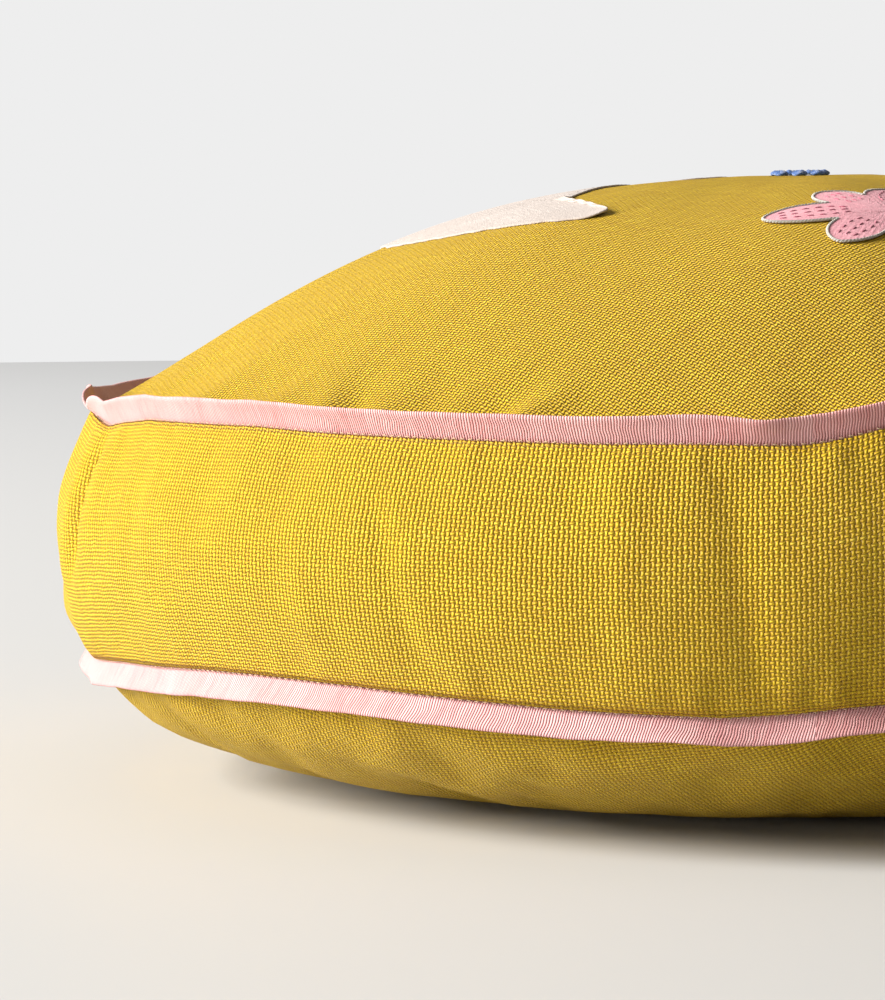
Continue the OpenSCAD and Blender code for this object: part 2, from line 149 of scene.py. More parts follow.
# ---------------------------------------------------------------- profiles, as (radius, height)

def crown_z(r, edge=None, foot=None, top=None):
    """Height of the crown: it falls to its edge as (1 - u^2.63)^1.23, with u the radius over the edge's."""
    edge = TOP_R - LIP if edge is None else edge
    foot = TOP_Z if foot is None else foot
    top = CROWN_Z if top is None else top
    u = np.clip(np.asarray(r, float) / edge, 0, 1)
    return foot + (top - foot) * (1 - u**2.63) ** 1.23


def band_r(z):
    """Radius of the band's outer face: a straight taper between the seams plus a parabola of height BULGE."""
    s = (np.asarray(z, float) - LOW_Z) / (TOP_Z - LOW_Z)
    return LOW_R + (TOP_R - LOW_R) * s + 4 * BULGE * s * (1 - s)


def band_slope(z):
    """Change of the band's radius with height."""
    s = (np.asarray(z, float) - LOW_Z) / (TOP_Z - LOW_Z)
    return (TOP_R - LOW_R + 4 * BULGE * (1 - 2 * s)) / (TOP_Z - LOW_Z)


def inside_band(z, depth):
    """Points at those heights on the band's outer face, moved inward by depth along its normal."""
    z = np.asarray(z, float)
    k = band_slope(z)
    across = np.hypot(1, k)
    return np.stack([band_r(z) - depth / across, z + depth * k / across], -1)


def crown_profile(steps):
    """The crown's outer face from its middle to its edge, with radii that crowd at the edge."""
    r = (TOP_R - LIP) * np.sin(np.linspace(0, math.pi / 2, steps + 1))
    return np.stack([r, crown_z(r)], -1)


def base_profile(steps, edge=None, foot=None, rest=None, floor=0.0):
    """The underside: a quarter ellipse from the bottom seam down to the flat, then level to the middle."""
    edge = LOW_R - LIP if edge is None else edge
    foot = LOW_Z if foot is None else foot
    rest = REST_R if rest is None else rest
    a = np.linspace(0, math.pi / 2, steps + 1)
    curve = np.stack([rest + (edge - rest) * np.cos(a), foot - (foot - floor) * np.sin(a)], -1)
    flat = np.linspace(rest, 0, steps // 2 + 1)[1:]
    return np.concatenate([curve, np.stack([flat, np.full_like(flat, floor)], -1)])


def run_of(profile):
    """Length along a profile at each of its points."""
    return np.concatenate([[0], np.cumsum(np.linalg.norm(np.diff(profile, axis=0), axis=1))])


def left_of(profile):
    """Unit normals on the left of a profile, which is outside, from the difference of each point's
    neighbours."""
    along = np.gradient(profile, axis=0)
    along /= np.linalg.norm(along, axis=1, keepdims=True) + 1e-12
    return np.stack([-along[:, 1], along[:, 0]], -1)


def carried(profile, t, out=0.0, rise=0.0):
    """A profile carried round the turns t: out moves each point along the outside normal and rise
    lifts it. Both may be grids of (profile point, turn)."""
    normal = left_of(profile)
    return on_arc(t, profile[:, :1] + normal[:, :1] * out, profile[:, 1:] + normal[:, 1:] * out + rise)


# ---------------------------------------------------------------- meshes

def linked(name, data):
    """A new object in the scene that shows that data."""
    piece = bpy.data.objects.new(name, data)
    bpy.context.scene.collection.objects.link(piece)
    return piece


def cells(grid):
    """The four corners of every cell of a grid."""
    return np.stack([grid[:-1, :-1], grid[1:, :-1], grid[1:, 1:], grid[:-1, 1:]], 2)


def flat_strip(across, along):
    """Flat coordinates of a strip on a grid of (across, along)."""
    return np.stack(np.meshgrid(along, across), -1)


def flat_disc(run, t):
    """Flat coordinates of a round panel: each point at its run from the middle, in its own direction."""
    return on_arc(np.append(t, t[0] + TAU), run[:, None], 0)[..., :2]


def surface(name, points, flat=None, round_t=True, round_s=False, poles=False):
    """Mesh of a grid of points, where every four neighbours make one face. round_t joins the last
    column to the first, round_s the last row to the first, and poles merges rows that have shrunk to
    a point. flat holds the flat coordinates, with one more column or row where the grid is joined."""
    rows, cols = points.shape[:2]
    index = np.arange(rows * cols).reshape(rows, cols)
    if round_t:
        index = np.hstack([index, index[:, :1]])
    if round_s:
        index = np.vstack([index, index[:1]])
    quads = cells(index).reshape(-1, 4)
    mesh = bpy.data.meshes.new(name)
    mesh.vertices.add(rows * cols)
    mesh.vertices.foreach_set("co", np.ascontiguousarray(points, np.float32).ravel())
    mesh.loops.add(quads.size)
    mesh.loops.foreach_set("vertex_index", quads.astype(np.int32).ravel())
    mesh.polygons.add(len(quads))
    mesh.polygons.foreach_set("loop_start", np.arange(0, quads.size, 4, dtype=np.int32))
    mesh.polygons.foreach_set("use_smooth", np.ones(len(quads), bool))
    if flat is not None:
        layer = mesh.uv_layers.new(name="flat")
        layer.data.foreach_set("uv", cells(flat).astype(np.float32).ravel())
    mesh.update(calc_edges=True)
    if poles:
        work = bmesh.new()
        work.from_mesh(mesh)
        bmesh.ops.remove_doubles(work, verts=work.verts, dist=1e-7)
        work.to_mesh(mesh)
        work.free()
    mesh.validate()
    return linked(name, mesh)


def joined(name, pieces):
    """Several meshes made into one piece."""
    work = bmesh.new()
    for piece in pieces:
        work.from_mesh(piece.data)
        bpy.data.objects.remove(piece)
    mesh = bpy.data.meshes.new(name)
    work.to_mesh(mesh)
    work.free()
    return linked(name, mesh)


def thickened(piece, t):
    """Gives cloth its thickness with a Solidify modifier, inward from the outer face."""
    wall = piece.modifiers.new("wall", "SOLIDIFY")
    wall.thickness = t
    wall.offset = -1
    return piece


def square_to(along, up):
    """Unit vectors along, beside and over a line, with over as near to up as it can be."""
    along = unit(along)
    side = unit(np.cross(along, up))
    return along, side, np.cross(side, along)


def tube(name, path, radius, sides, closed=False):
    """A round tube along a path: circles square to it, which close to a point at open ends. Its flat
    coordinates are the length along it and the distance round it."""
    if closed:
        along = np.roll(path, -1, 0) - np.roll(path, 1, 0)
    else:
        along = np.gradient(path, axis=0)
    _, side, over = square_to(along, (0, 0, 1))
    wide = np.full((len(path), 1, 1), radius)
    length = run_of(path)
    if closed:
        length = np.append(length, length[-1] + np.linalg.norm(path[0] - path[-1]))
    else:
        wide[[0, -1]] = 1e-9
    a = np.linspace(0, TAU, sides, endpoint=False)[None, :, None]
    rings = path[:, None] + wide * (np.cos(a) * side[:, None] + np.sin(a) * over[:, None])
    flat = np.stack(np.meshgrid(length, np.linspace(0, TAU * radius, sides + 1), indexing="ij"), -1)
    return surface(name, rings, flat, round_s=closed, poles=not closed)


def stitches(name, middles, along, up, length, width):
    """Many small stitches in one mesh. Each is a spindle of six sides and five rings that bows up in
    its middle and tapers at its ends, with its length along the given direction."""
    along, side, over = square_to(along, up)
    bow = 0.25 * width
    s = np.array([-1, -0.8, -0.35, 0.35, 0.8, 1])
    thick = width / 2 * np.array([0.05, 0.72, 1, 1, 0.72, 0.05])
    a = np.linspace(0, TAU, 6, endpoint=False)
    x = np.repeat(s * length / 2, 6)
    y = (thick[:, None] * np.cos(a)).ravel()
    z = (thick[:, None] * np.sin(a) + (1 - s[:, None] ** 2) * bow).ravel()
    points = (
        middles[:, None] + x[None, :, None] * along[:, None]
        + y[None, :, None] * side[:, None] + z[None, :, None] * over[:, None]
    )
    ring = np.arange(36).reshape(6, 6)
    quads = cells(np.hstack([ring, ring[:, :1]])).reshape(-1, 4)
    ends = np.array([[0, 1, 2, 3], [0, 3, 4, 5], [33, 32, 31, 30], [35, 34, 33, 30]])
    faces = np.concatenate([quads, ends])
    faces = (faces[None] + 36 * np.arange(len(middles))[:, None, None]).reshape(-1, 4)
    mesh = bpy.data.meshes.new(name)
    mesh.from_pydata(points.reshape(-1, 3).tolist(), [], faces.tolist())
    mesh.polygons.foreach_set("use_smooth", np.ones(len(mesh.polygons), bool))
    return linked(name, mesh)


def stitch_ends(line, pitch, length, uneven=None):
    """Where the stitches of a line start and end, at an even pitch or moved by uneven(count)."""
    run = run_of(line)
    count = int(run[-1] / pitch)
    at = (np.arange(count) + 0.5) * run[-1] / count
    if uneven:
        at = at + uneven(count)
    return (
        np.stack([np.interp(at + half, run, line[:, k]) for k in range(line.shape[1])], -1)
        for half in (-length / 2, length / 2)
    )


# ---------------------------------------------------------------- finishes

def tint(r, g, b):
    """A colour given in the 0 to 255 of a colour chart, as the linear light that shaders use."""
    c = np.array([r, g, b]) / 255
    c = np.where(c <= 0.04045, c / 12.92, ((c + 0.055) / 1.055) ** 2.4)
    return (*c.tolist(), 1.0)


class Finish:
    """One procedural finish, with short calls that add a node and join it up."""

    def __init__(self, name, roughness, specular=0.5, sheen=0.0, sheen_roughness=0.5, **sockets):
        self.material = bpy.data.materials.new(name)
        self.material.use_nodes = True
        self.tree = self.material.node_tree
        self.shader = self.tree.nodes["Principled BSDF"]
        sockets |= {
            "Roughness": roughness, "Specular_IOR_Level": specular,
            "Sheen_Weight": sheen, "Sheen_Roughness": sheen_roughness,
        }
        for socket, value in sockets.items():
            self.shader.inputs[socket.replace("_", " ")].default_value = value

    def add(self, kind, inputs=(), **settings):
        node = self.tree.nodes.new(kind)
        for key, value in settings.items():
            setattr(node, key, value)
        for key, value in dict(inputs).items():
            self.join(value, node.inputs[key])
        return node

    def join(self, value, socket):
        if isinstance(value, bpy.types.NodeSocket):
            self.tree.links.new(value, socket)
        else:
            socket.default_value = value

    def flat(self):
        return self.add("ShaderNodeUVMap", uv_map="flat").outputs[0]

    def place(self):
        return self.add("ShaderNodeTexCoord").outputs["Object"]

    def apart(self, vector):
        return self.add("ShaderNodeSeparateXYZ", {0: vector}).outputs

    def together(self, x, y, z=0.0):
        return self.add("ShaderNodeCombineXYZ", {0: x, 1: y, 2: z}).outputs[0]

    def sum(self, operation, a, b=0.0, c=0.0):
        return self.add("ShaderNodeMath", {0: a, 1: b, 2: c}, operation=operation).outputs[0]

    def spread(self, vector, operation, other):
        node = self.add("ShaderNodeVectorMath", {0: vector}, operation=operation)
        self.join(other, node.inputs["Scale" if operation == "SCALE" else 1])
        return node.outputs[0]

    def mapped(self, vector, scale=(1, 1, 1), turn=0.0):
        node = self.add("ShaderNodeMapping", {0: vector})
        node.inputs["Scale"].default_value = scale
        node.inputs["Rotation"].default_value = (0, 0, math.radians(turn))
        return node.outputs[0]

    def noise(self, vector, scale, detail=2.0, roughness=0.5):
        node = self.add("ShaderNodeTexNoise", {"Vector": vector, "Scale": scale})
        node.inputs["Detail"].default_value = detail
        node.inputs["Roughness"].default_value = roughness
        return node.outputs

    def shaped(self, value, low, high, to_low=0.0, to_high=1.0):
        node = self.add("ShaderNodeMapRange", {0: value, 1: low, 2: high, 3: to_low, 4: to_high})
        return node.outputs[0]

    def blend(self, share, a, b, how="MIX"):
        node = self.add("ShaderNodeMix", data_type="RGBA", blend_type=how)
        self.join(share, node.inputs["Factor"])
        self.join(a, node.inputs["A"])
        self.join(b, node.inputs["B"])
        return node.outputs["Result"]

    def coloured(self, colour):
        self.join(colour, self.shader.inputs["Base Color"])
        return self

    def raised(self, height, distance):
        node = self.add("ShaderNodeBump", {"Height": height, "Distance": distance, "Strength": 1.0})
        self.join(node.outputs[0], self.shader.inputs["Normal"])
        return self


def plain_weave(f, at, warp, weft, slack=0.34):
    """Plain weave on flat coordinates. Each thread's roundness is a sine across it, and the product of
    the two sines says which is on top. The threads wander, and swell and thin along their length.
    Gives the height and the share of each thread's own shade."""
    drift = f.spread(f.noise(at, 190.0, 2.0)[1], "SUBTRACT", (0.5, 0.5, 0.5))
    at = f.spread(at, "ADD", f.spread(drift, "SCALE", slack * 2 * warp))
    x, y, _ = f.apart(at)
    across_x, across_y = f.sum("MULTIPLY", x, 1 / warp), f.sum("MULTIPLY", y, 1 / weft)
    wave_x = f.sum("SINE", f.sum("MULTIPLY", across_x, math.pi))
    wave_y = f.sum("SINE", f.sum("MULTIPLY", across_y, math.pi))
    own_x, own_y = f.sum("MULTIPLY", f.sum("FLOOR", across_x), 7.31), f.sum("MULTIPLY", f.sum("FLOOR", across_y), 5.77)
    shade_x = f.noise(f.together(own_x, f.sum("MULTIPLY", y, 55.0)), 1.0, 1.0)[0]
    shade_y = f.noise(f.together(f.sum("MULTIPLY", x, 55.0), own_y, 3.0), 1.0, 1.0)[0]
    swell_x, swell_y = f.shaped(shade_x, 0.3, 0.7, 0.8, 1.16), f.shaped(shade_y, 0.3, 0.7, 0.8, 1.16)
    top = f.sum("MULTIPLY", wave_x, wave_y)
    round_x = f.sum("POWER", f.sum("ABSOLUTE", wave_x), 0.75)
    round_y = f.sum("POWER", f.sum("ABSOLUTE", wave_y), 0.75)
    high_x = f.sum("MULTIPLY", f.sum("MULTIPLY", round_x, f.sum("MULTIPLY_ADD", top, 0.42, 0.58)), swell_x)
    high_y = f.sum("MULTIPLY", f.sum("MULTIPLY", round_y, f.sum("MULTIPLY_ADD", top, -0.42, 0.58)), swell_y)
    height = f.sum("MAXIMUM", high_x, high_y)
    x_on_top = f.sum("GREATER_THAN", high_x, high_y)
    shade = f.add("ShaderNodeMix", data_type="FLOAT")
    f.join(x_on_top, shade.inputs[0])
    f.join(shade_y, shade.inputs[2])
    f.join(shade_x, shade.inputs[3])
    return height, shade.outputs[0]


def slub_linen(name, turn=0.0, warp=1.85 * MM, weft=1.5 * MM):
    """Coarse mustard linen: plain weave with painted shade darkening the gaps and the sides of the threads,
    with threads of slightly different shades and a few pale slubs."""
    f = Finish(name, 0.62, 0.3, 0.05, 0.35, Sheen_Tint=(1.0, 0.92, 0.55, 1))
    at = f.mapped(f.flat(), turn=turn)
    height, shade = plain_weave(f, at, warp, weft)
    cloudy = f.noise(at, 22.0, 3.0)[0]
    thread = f.blend(f.shaped(shade, 0.3, 0.7), tint(200, 162, 8), tint(218, 183, 24))
    thread = f.blend(f.shaped(shade, 0.66, 0.8, 0, 0.35), thread, tint(234, 208, 80))
    thread = f.blend(f.shaped(cloudy, 0.35, 0.75, 0, 0.2), thread, tint(184, 148, 14))
    # Painted shade: the sides of the threads and the gaps between them are darkened by their height in the weave.
    side = f.blend(f.shaped(height, 0.3, 0.74), tint(166, 126, 2), thread)
    colour = f.blend(f.shaped(height, 0.1, 0.34), tint(84, 58, 0), side)
    fibre = f.noise(at, 2600.0, 2.0)[0]
    f.coloured(f.blend(0.14, colour, fibre, "OVERLAY"))
    f.raised(f.sum("MULTIPLY_ADD", fibre, 0.14, height), 1.35 * MM)
    return f.material


def grosgrain(name, lit=(226, 174, 172), deep=(208, 140, 136), lean=0.0):
    """Pink grosgrain: fine ribs across it that waver slightly, in soft light and dark stretches, with painted
    shade darkening the grooves between the ribs. lean slants the ribs."""
    f = Finish(name, 0.6, 0.35, 0.2, 0.35, Sheen_Tint=(1.0, 0.9, 0.88, 1))
    at = f.flat()
    x, y, _ = f.apart(at)
    slow = f.noise(f.mapped(at, (1, 2.2, 1)), 60.0, 1.0)[0]
    sway = f.sum("MULTIPLY", f.sum("SUBTRACT", slow, 0.5), 2.4 * MM)
    x = f.sum("ADD", f.sum("MULTIPLY_ADD", y, lean, x), sway)
    count = f.sum("MULTIPLY", x, 1 / (1.02 * MM))
    rib = f.sum("POWER", f.sum("ABSOLUTE", f.sum("SINE", f.sum("MULTIPLY", count, math.pi))), 0.7)
    own = f.sum("MULTIPLY", f.sum("FLOOR", count), 3.7)
    each = f.noise(f.together(own, f.sum("MULTIPLY", y, 90.0)), 1.0, 1.0)[0]
    stretch = f.noise(f.mapped(at, (1, 0.25, 1)), 26.0, 2.0)[0]
    body = f.blend(f.shaped(stretch, 0.3, 0.7), tint(*deep), tint(*lit))
    body = f.blend(f.shaped(each, 0.3, 0.7, 0, 0.35), body, tint(246, 206, 202))
    # Painted shade: the grooves between the ribs are the body multiplied by a dark pink.
    colour = f.blend(f.shaped(rib, 0.2, 0.8), f.blend(1.0, body, tint(168, 104, 98), "MULTIPLY"), body)
    f.coloured(colour)
    f.raised(f.sum("MULTIPLY_ADD", f.noise(at, 3000.0)[0], 0.15, rib), 0.32 * MM)
    return f.material


def thread_finish(name, light, dark):
    """Sewing thread: two plies seen as slanting light and dark bands along it, over fine fibre noise."""
    f = Finish(name, 0.6, 0.4, 0.3)
    x, y, z = f.apart(f.place())
    slant = f.sum("ADD", f.sum("ADD", x, y), f.sum("MULTIPLY", z, 1.7))
    slant = f.sum("SINE", f.sum("MULTIPLY", slant, TAU / (1.1 * MM)))
    fibre = f.noise(f.place(), 1800.0, 2.0)[0]
    f.coloured(f.blend(f.shaped(f.sum("MULTIPLY_ADD", fibre, 0.8, slant), -0.8, 1.4), tint(*dark), tint(*light)))
    f.raised(slant, 0.12 * MM)
    return f.material


def felt(name, light, dark, fleck):
    """Wool felt: matted fibres from noise at three scales, stretched two ways, with a soft nap."""
    f = Finish(name, 0.95, 0.1, 0.2, 0.6)
    at = f.place()
    one = f.noise(f.mapped(at, (1, 4, 1), 25), 420.0, 3.0, 0.65)[0]
    two = f.noise(f.mapped(at, (4, 1, 1), 65), 420.0, 3.0, 0.65)[0]
    mat = f.sum("MAXIMUM", one, two)
    cloudy = f.noise(at, 45.0, 2.0)[0]
    colour = f.blend(f.shaped(mat, 0.4, 0.75), tint(*dark), tint(*light))
    colour = f.blend(f.shaped(cloudy, 0.45, 0.75, 0, 0.3), colour, tint(*fleck))
    f.coloured(colour)
    f.raised(mat, 0.5 * MM)
    return f.material


def yarn(name, light, dark, scale=1.0):
    """Twisted yarn: plies that slant across its flat coordinate, with loose fibre noise."""
    f = Finish(name, 0.85, 0.2, 0.5, 0.5)
    x, y, _ = f.apart(f.flat())
    slant = f.sum("MULTIPLY", f.sum("MULTIPLY_ADD", y, 1.3, x), math.pi / (0.7 * MM * scale))
    ply = f.sum("ABSOLUTE", f.sum("SINE", slant))
    fibre = f.noise(f.place(), 2200.0, 3.0)[0]
    f.coloured(f.blend(f.shaped(f.sum("MULTIPLY_ADD", fibre, 0.5, ply), 0.2, 1.1), tint(*dark), tint(*light)))
    f.raised(f.sum("MULTIPLY_ADD", fibre, 0.4, ply), 0.3 * MM)
    return f.material


def zip_weave(name):
    """Zip tape: a fine herringbone of slanting ribs that turn over from column to column."""
    f = Finish(name, 0.7, 0.3, 0.2)
    x, y, _ = f.apart(f.flat())
    column = f.sum("PINGPONG", y, 1.5 * MM)
    rib = f.sum("SINE", f.sum("MULTIPLY", f.sum("MULTIPLY_ADD", column, 0.8, x), TAU / (0.8 * MM)))
    tone = f.noise(f.flat(), 120.0)[0]
    base = f.blend(f.shaped(tone, 0.3, 0.7), tint(196, 170, 52), tint(214, 190, 74))
    f.coloured(f.blend(f.shaped(rib, -1, 0.4), tint(150, 124, 24), base))
    f.raised(rib, 0.15 * MM)
    return f.material


def coil_plastic(name):
    """Polyester coil: smooth, slightly clear strand with faint mottling."""
    f = Finish(name, 0.35, 0.5, Coat_Weight=0.2)
    tone = f.noise(f.place(), 300.0, 2.0)[0]
    f.coloured(f.blend(f.shaped(tone, 0.3, 0.7), tint(204, 180, 74), tint(224, 204, 104)))
    f.raised(f.noise(f.place(), 1500.0)[0], 0.03 * MM)
    return f.material


def brushed_metal(name):
    """Nickel-plated zinc: fine brushing, small scuffs that are rougher and slightly darker."""
    f = Finish(name, 0.3, Metallic=1.0)
    at = f.place()
    brushed = f.noise(f.mapped(at, (1, 1, 14)), 900.0, 3.0, 0.7)[0]
    scuff = f.noise(at, 260.0, 4.0, 0.7)[0]
    f.coloured(f.blend(f.shaped(scuff, 0.42, 0.7), tint(206, 207, 210), tint(168, 168, 170)))
    f.join(f.shaped(f.sum("ADD", brushed, scuff), 0.7, 1.3, 0.2, 0.45), f.shader.inputs["Roughness"])
    f.raised(brushed, 0.03 * MM)
    return f.material


def calico(name):
    """Unbleached calico: fine plain weave with painted shade darkening the gaps between threads, and small dark seed
    flecks.
    """
    f = Finish(name, 0.9, 0.2, 0.2)
    at = f.flat()
    height, shade = plain_weave(f, at, 0.55 * MM, 0.55 * MM, 0.15)
    cloth = f.blend(f.shaped(shade, 0.3, 0.7), tint(222, 212, 190), tint(240, 234, 218))
    fleck = f.shaped(f.noise(at, 900.0, 1.0)[0], 0.74, 0.8)
    # Painted shade: the low places of the weave are darkened by their height.
    colour = f.blend(f.shaped(height, 0.2, 0.55), tint(176, 164, 138), cloth)
    f.coloured(f.blend(fleck, colour, tint(128, 104, 70)))
    f.raised(height, 0.25 * MM)
    return f.material


def fibre_fill(name):
    """Polyester fibre: white tangled strands from stretched noise at several turns."""
    f = Finish(name, 0.95, 0.1, 0.8, 0.7)
    at = f.place()
    one = f.noise(f.mapped(at, (1, 6, 2), 20), 160.0, 4.0)[0]
    two = f.noise(f.mapped(at, (6, 1, 3), 50), 160.0, 4.0)[0]
    strand = f.sum("MAXIMUM", one, two)
    f.coloured(f.blend(f.shaped(strand, 0.4, 0.75), tint(222, 220, 214), tint(252, 251, 248)))
    f.raised(strand, 2.0 * MM)
    return f.material


def wear(piece, material):
    """Gives a piece one finish in place of what it had."""
    piece.data.materials.clear()
    piece.data.materials.append(material)


def dress(piece, material, node):
    """Gives a piece its finish and its body, and hides the part of the imported model it stands for."""
    wear(piece, material)
    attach(piece, "cushion")
    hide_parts(node)
    return piece


# ---------------------------------------------------------------- the cover's relief

COLUMNS = 720
SIM_COLUMNS = 360
CROWN_STEPS, BAND_STEPS, BASE_STEPS = 58, 24, 30
ROUND = np.linspace(0, TAU, COLUMNS, endpoint=False)

# Creases of the band: turn at the top seam and at the bottom seam, share of the height
# where each starts and ends from the top, width in degrees and height in millimetres
BAND_CREASES = [
    (-67.0, -71.5, -0.1, 0.66, 1.1, -4.2), (-69.6, -75.0, 0.0, 0.75, 2.0, 1.6),
    (-64.0, -66.5, 0.0, 0.6, 2.4, 1.7), (-56.0, -57.5, 0.1, 0.9, 1.6, -0.9),
    (-47.0, -49.0, 0.0, 0.5, 2.2, -0.8), (-37.5, -36.0, 0.3, 1.0, 1.5, 0.8),
    (-32.0, -27.0, 0.15, 1.0, 1.0, -0.8), (-29.5, -25.0, 0.2, 1.0, 1.6, 0.5),
    (-13.0, -12.0, 0.0, 0.7, 1.3, 0.7), (-5.6, -3.6, 0.0, 1.0, 1.3, -1.1),
    (-1.2, -0.4, 0.0, 1.0, 2.2, 0.3), (5.0, 4.0, 0.0, 0.8, 1.4, -0.5),
    (22.0, 24.0, 0.0, 1.0, 1.8, -1.6), (41.0, 40.0, 0.1, 0.9, 2.0, 1.4),
    (63.0, 60.0, 0.0, 0.7, 1.7, -2.2), (88.0, 90.0, 0.2, 1.0, 2.4, 1.6),
    (106.0, 104.0, 0.0, 1.0, 1.6, -1.5), (-98.0, -95.0, 0.0, 1.0, 2.2, -1.8),
    (-114.0, -116.0, 0.1, 1.0, 1.6, 1.4),
]

# Gathers of the crown beside its seam: turn, lean in degrees over 40 mm, reach in
# millimetres, width in degrees and height in millimetres
CROWN_GATHERS = [
    (-36.6, -3.2, 30, 1.1, -3.2), (-38.8, -3.2, 30, 1.2, 2.2), (-34.2, -2.5, 22, 1.0, 1.6),
    (-25.3, 2.0, 32, 1.1, -3.4), (-23.2, 2.6, 32, 1.2, 2.4), (-28.0, 1.5, 24, 1.4, -1.8), (-17.0, 0.5, 30, 3.0, -1.5),
    (-48.0, -2.0, 20, 1.4, 1.2), (-53.5, -3.0, 22, 1.2, -1.2), (-61.0, 2.0, 26, 1.6, 1.4),
    (-12.5, 1.2, 15, 0.9, 0.9), (-6.0, -1.0, 18, 0.9, -0.9), (2.5, 1.0, 22, 1.1, 1.4),
    (17.0, 2.0, 26, 1.2, -1.8), (33.0, -2.0, 24, 1.3, 1.7), (52.0, 2.0, 26, 1.4, -1.8),
    (71.0, -3.0, 24, 1.2, 1.6), (95.0, 2.0, 28, 1.3, -1.9), (121.0, 3.0, 24, 1.4, 1.5),
    (150.0, -2.0, 26, 1.3, -1.7), (178.0, 2.0, 24, 1.2, 1.4), (-152.0, 2.0, 28, 1.4, -1.7),
    (-128.0, -2.0, 26, 1.2, 1.5), (-104.0, 2.0, 24, 1.3, -1.6), (-83.0, -3.0, 24, 1.5, 1.6),
]


def band_creases(t, s):
    """Height of the band's creases at turns t (columns) and shares s of the height from the top
    (rows): each is a hump across a line that slants between the seams, and fades at its ends."""
    total = 0
    for top, low, start, end, width, high in BAND_CREASES:
        ends = fade(s, start - 0.05, start + 0.2) * (1 - fade(s, end - 0.2, end + 0.05))
        total = total + high * near(t, top + (low - top) * s, width) * ends
    return total * MM


def crown_gathers(t, d):
    """Height of the crown's gathers at turns t (columns) and distances d in from the seam (rows):
    each is a hump across a line that leans, and widens and dies away with distance."""
    total = 0
    for turn, lean, reach, width, high in CROWN_GATHERS:
        across = near(t, turn + lean * d / (40 * MM), width * (1 + d / (30 * MM)))
        total = total + high * across * np.exp(-((d / (reach * MM)) ** 2))
    return total * MM


def settled_cloth():
    """Cloth simulation of the whole cover: a closed form on a grid of profile points and turns, held
    at its two seams and on the floor, cut 2.5% larger than its form and blown up by an even pressure,
    so that it wrinkles beside the seams. Returns how far each point moved along the outside normal,
    less the mean of its row and the finest waves, as (run, relief) of the crown, band and base."""
    crown = crown_profile(30)
    band = inside_band(np.linspace(TOP_Z, LOW_Z, 15), 0)[1:-1]
    base = base_profile(18)
    profile = np.concatenate([crown, band, base])
    profile[0, 0] = profile[-1, 0] = 1e-6
    t = np.linspace(0, TAU, SIM_COLUMNS, endpoint=False)
    before = carried(profile, t)
    form = surface("settling_cover", before)
    held = form.vertex_groups.new(name="held")
    rows = np.arange(before.shape[0] * SIM_COLUMNS).reshape(-1, SIM_COLUMNS)
    on_floor = range(len(crown) + len(band) + 16, len(profile))
    fixed = [0, len(crown) - 1, len(crown) + len(band), *on_floor]
    held.add(rows[fixed].ravel().tolist(), 1.0, "REPLACE")
    cloth = form.modifiers.new("cloth", "CLOTH")
    settings = cloth.settings
    settings.quality = 4
    settings.mass = 0.25
    settings.tension_stiffness = settings.compression_stiffness = 12
    settings.shear_stiffness = 3
    settings.bending_stiffness = 0.35
    settings.vertex_group_mass = "held"
    settings.use_pressure = True
    settings.uniform_pressure_force = 3
    settings.shrink_min = -0.025
    settings.effector_weights.gravity = 0
    cloth.collision_settings.use_collision = False
    scene = bpy.context.scene
    for step in range(1, 19):
        scene.frame_set(step)
    graph = bpy.context.evaluated_depsgraph_get()
    mesh = form.evaluated_get(graph).to_mesh()
    after = np.empty(len(mesh.vertices) * 3)
    mesh.vertices.foreach_get("co", after)
    after = after.reshape(before.shape)
    bpy.data.objects.remove(form)
    scene.frame_set(1)
    normal = left_of(profile)
    moved = ((after - before) * on_arc(t, normal[:, :1], normal[:, 1:])).sum(-1)
    moved = np.clip(moved - moved.mean(1, keepdims=True), -6 * MM, 6 * MM)
    seams = len(crown) - 1, len(crown) + len(band)
    waves = np.fft.rfft(moved, axis=1)
    moved = np.fft.irfft(waves * np.exp(-((np.arange(waves.shape[1]) / 75) ** 2)), SIM_COLUMNS, axis=1)
    stretches = slice(0, seams[0] + 1), slice(seams[0], seams[1] + 1), slice(seams[1], None)
    return [(run_of(profile[part]), moved[part]) for part in stretches]


def finer(part, run):
    """A coarse relief brought to finer rows and columns: straight lines along the profile by run
    length, and the same waves with more points round the turn."""
    coarse_run, moved = part
    share = np.interp(run, coarse_run * run[-1] / coarse_run[-1], np.arange(len(coarse_run)))
    low = np.minimum(share.astype(int), len(coarse_run) - 2)
    part_way = (share - low)[:, None]
    rows = moved[low] * (1 - part_way) + moved[low + 1] * part_way
    waves = np.fft.rfft(rows, axis=1)
    return np.fft.irfft(waves, COLUMNS, axis=1) * COLUMNS / SIM_COLUMNS


sim_crown, sim_band, sim_base = settled_cloth()


def simulated(part, run):
    """The simulation's relief on one part of the cover, or none when there was no simulation."""
    return 0.0 if part is None else finer(part, run)


# Crown: the profile, its run and its relief, which is nothing at the seam
crown = crown_profile(CROWN_STEPS)
crown_run = run_of(crown)
in_from_seam = (crown_run[-1] - crown_run)[:, None]
crown_relief = (
    0.8 * simulated(sim_crown, crown_run) * fade(crown[:, :1], 20 * MM, 130 * MM)
    + 0.55 * MM * ripple(ROUND, 34, 120, 21, 0.2) * np.exp(-in_from_seam / (9 * MM))
    + 1.1 * MM * ripple(ROUND, 9, 34, 22, 0.3) * np.exp(-in_from_seam / (32 * MM))
    + 1.5 * MM * ripple(ROUND, 2, 7, 23) * np.sin(math.pi * crown_run / crown_run[-1])[:, None] ** 2
    + crown_gathers(ROUND, in_from_seam)
) * fade(in_from_seam, 0, 5 * MM) * fade(crown[:, :1], 0, 60 * MM)

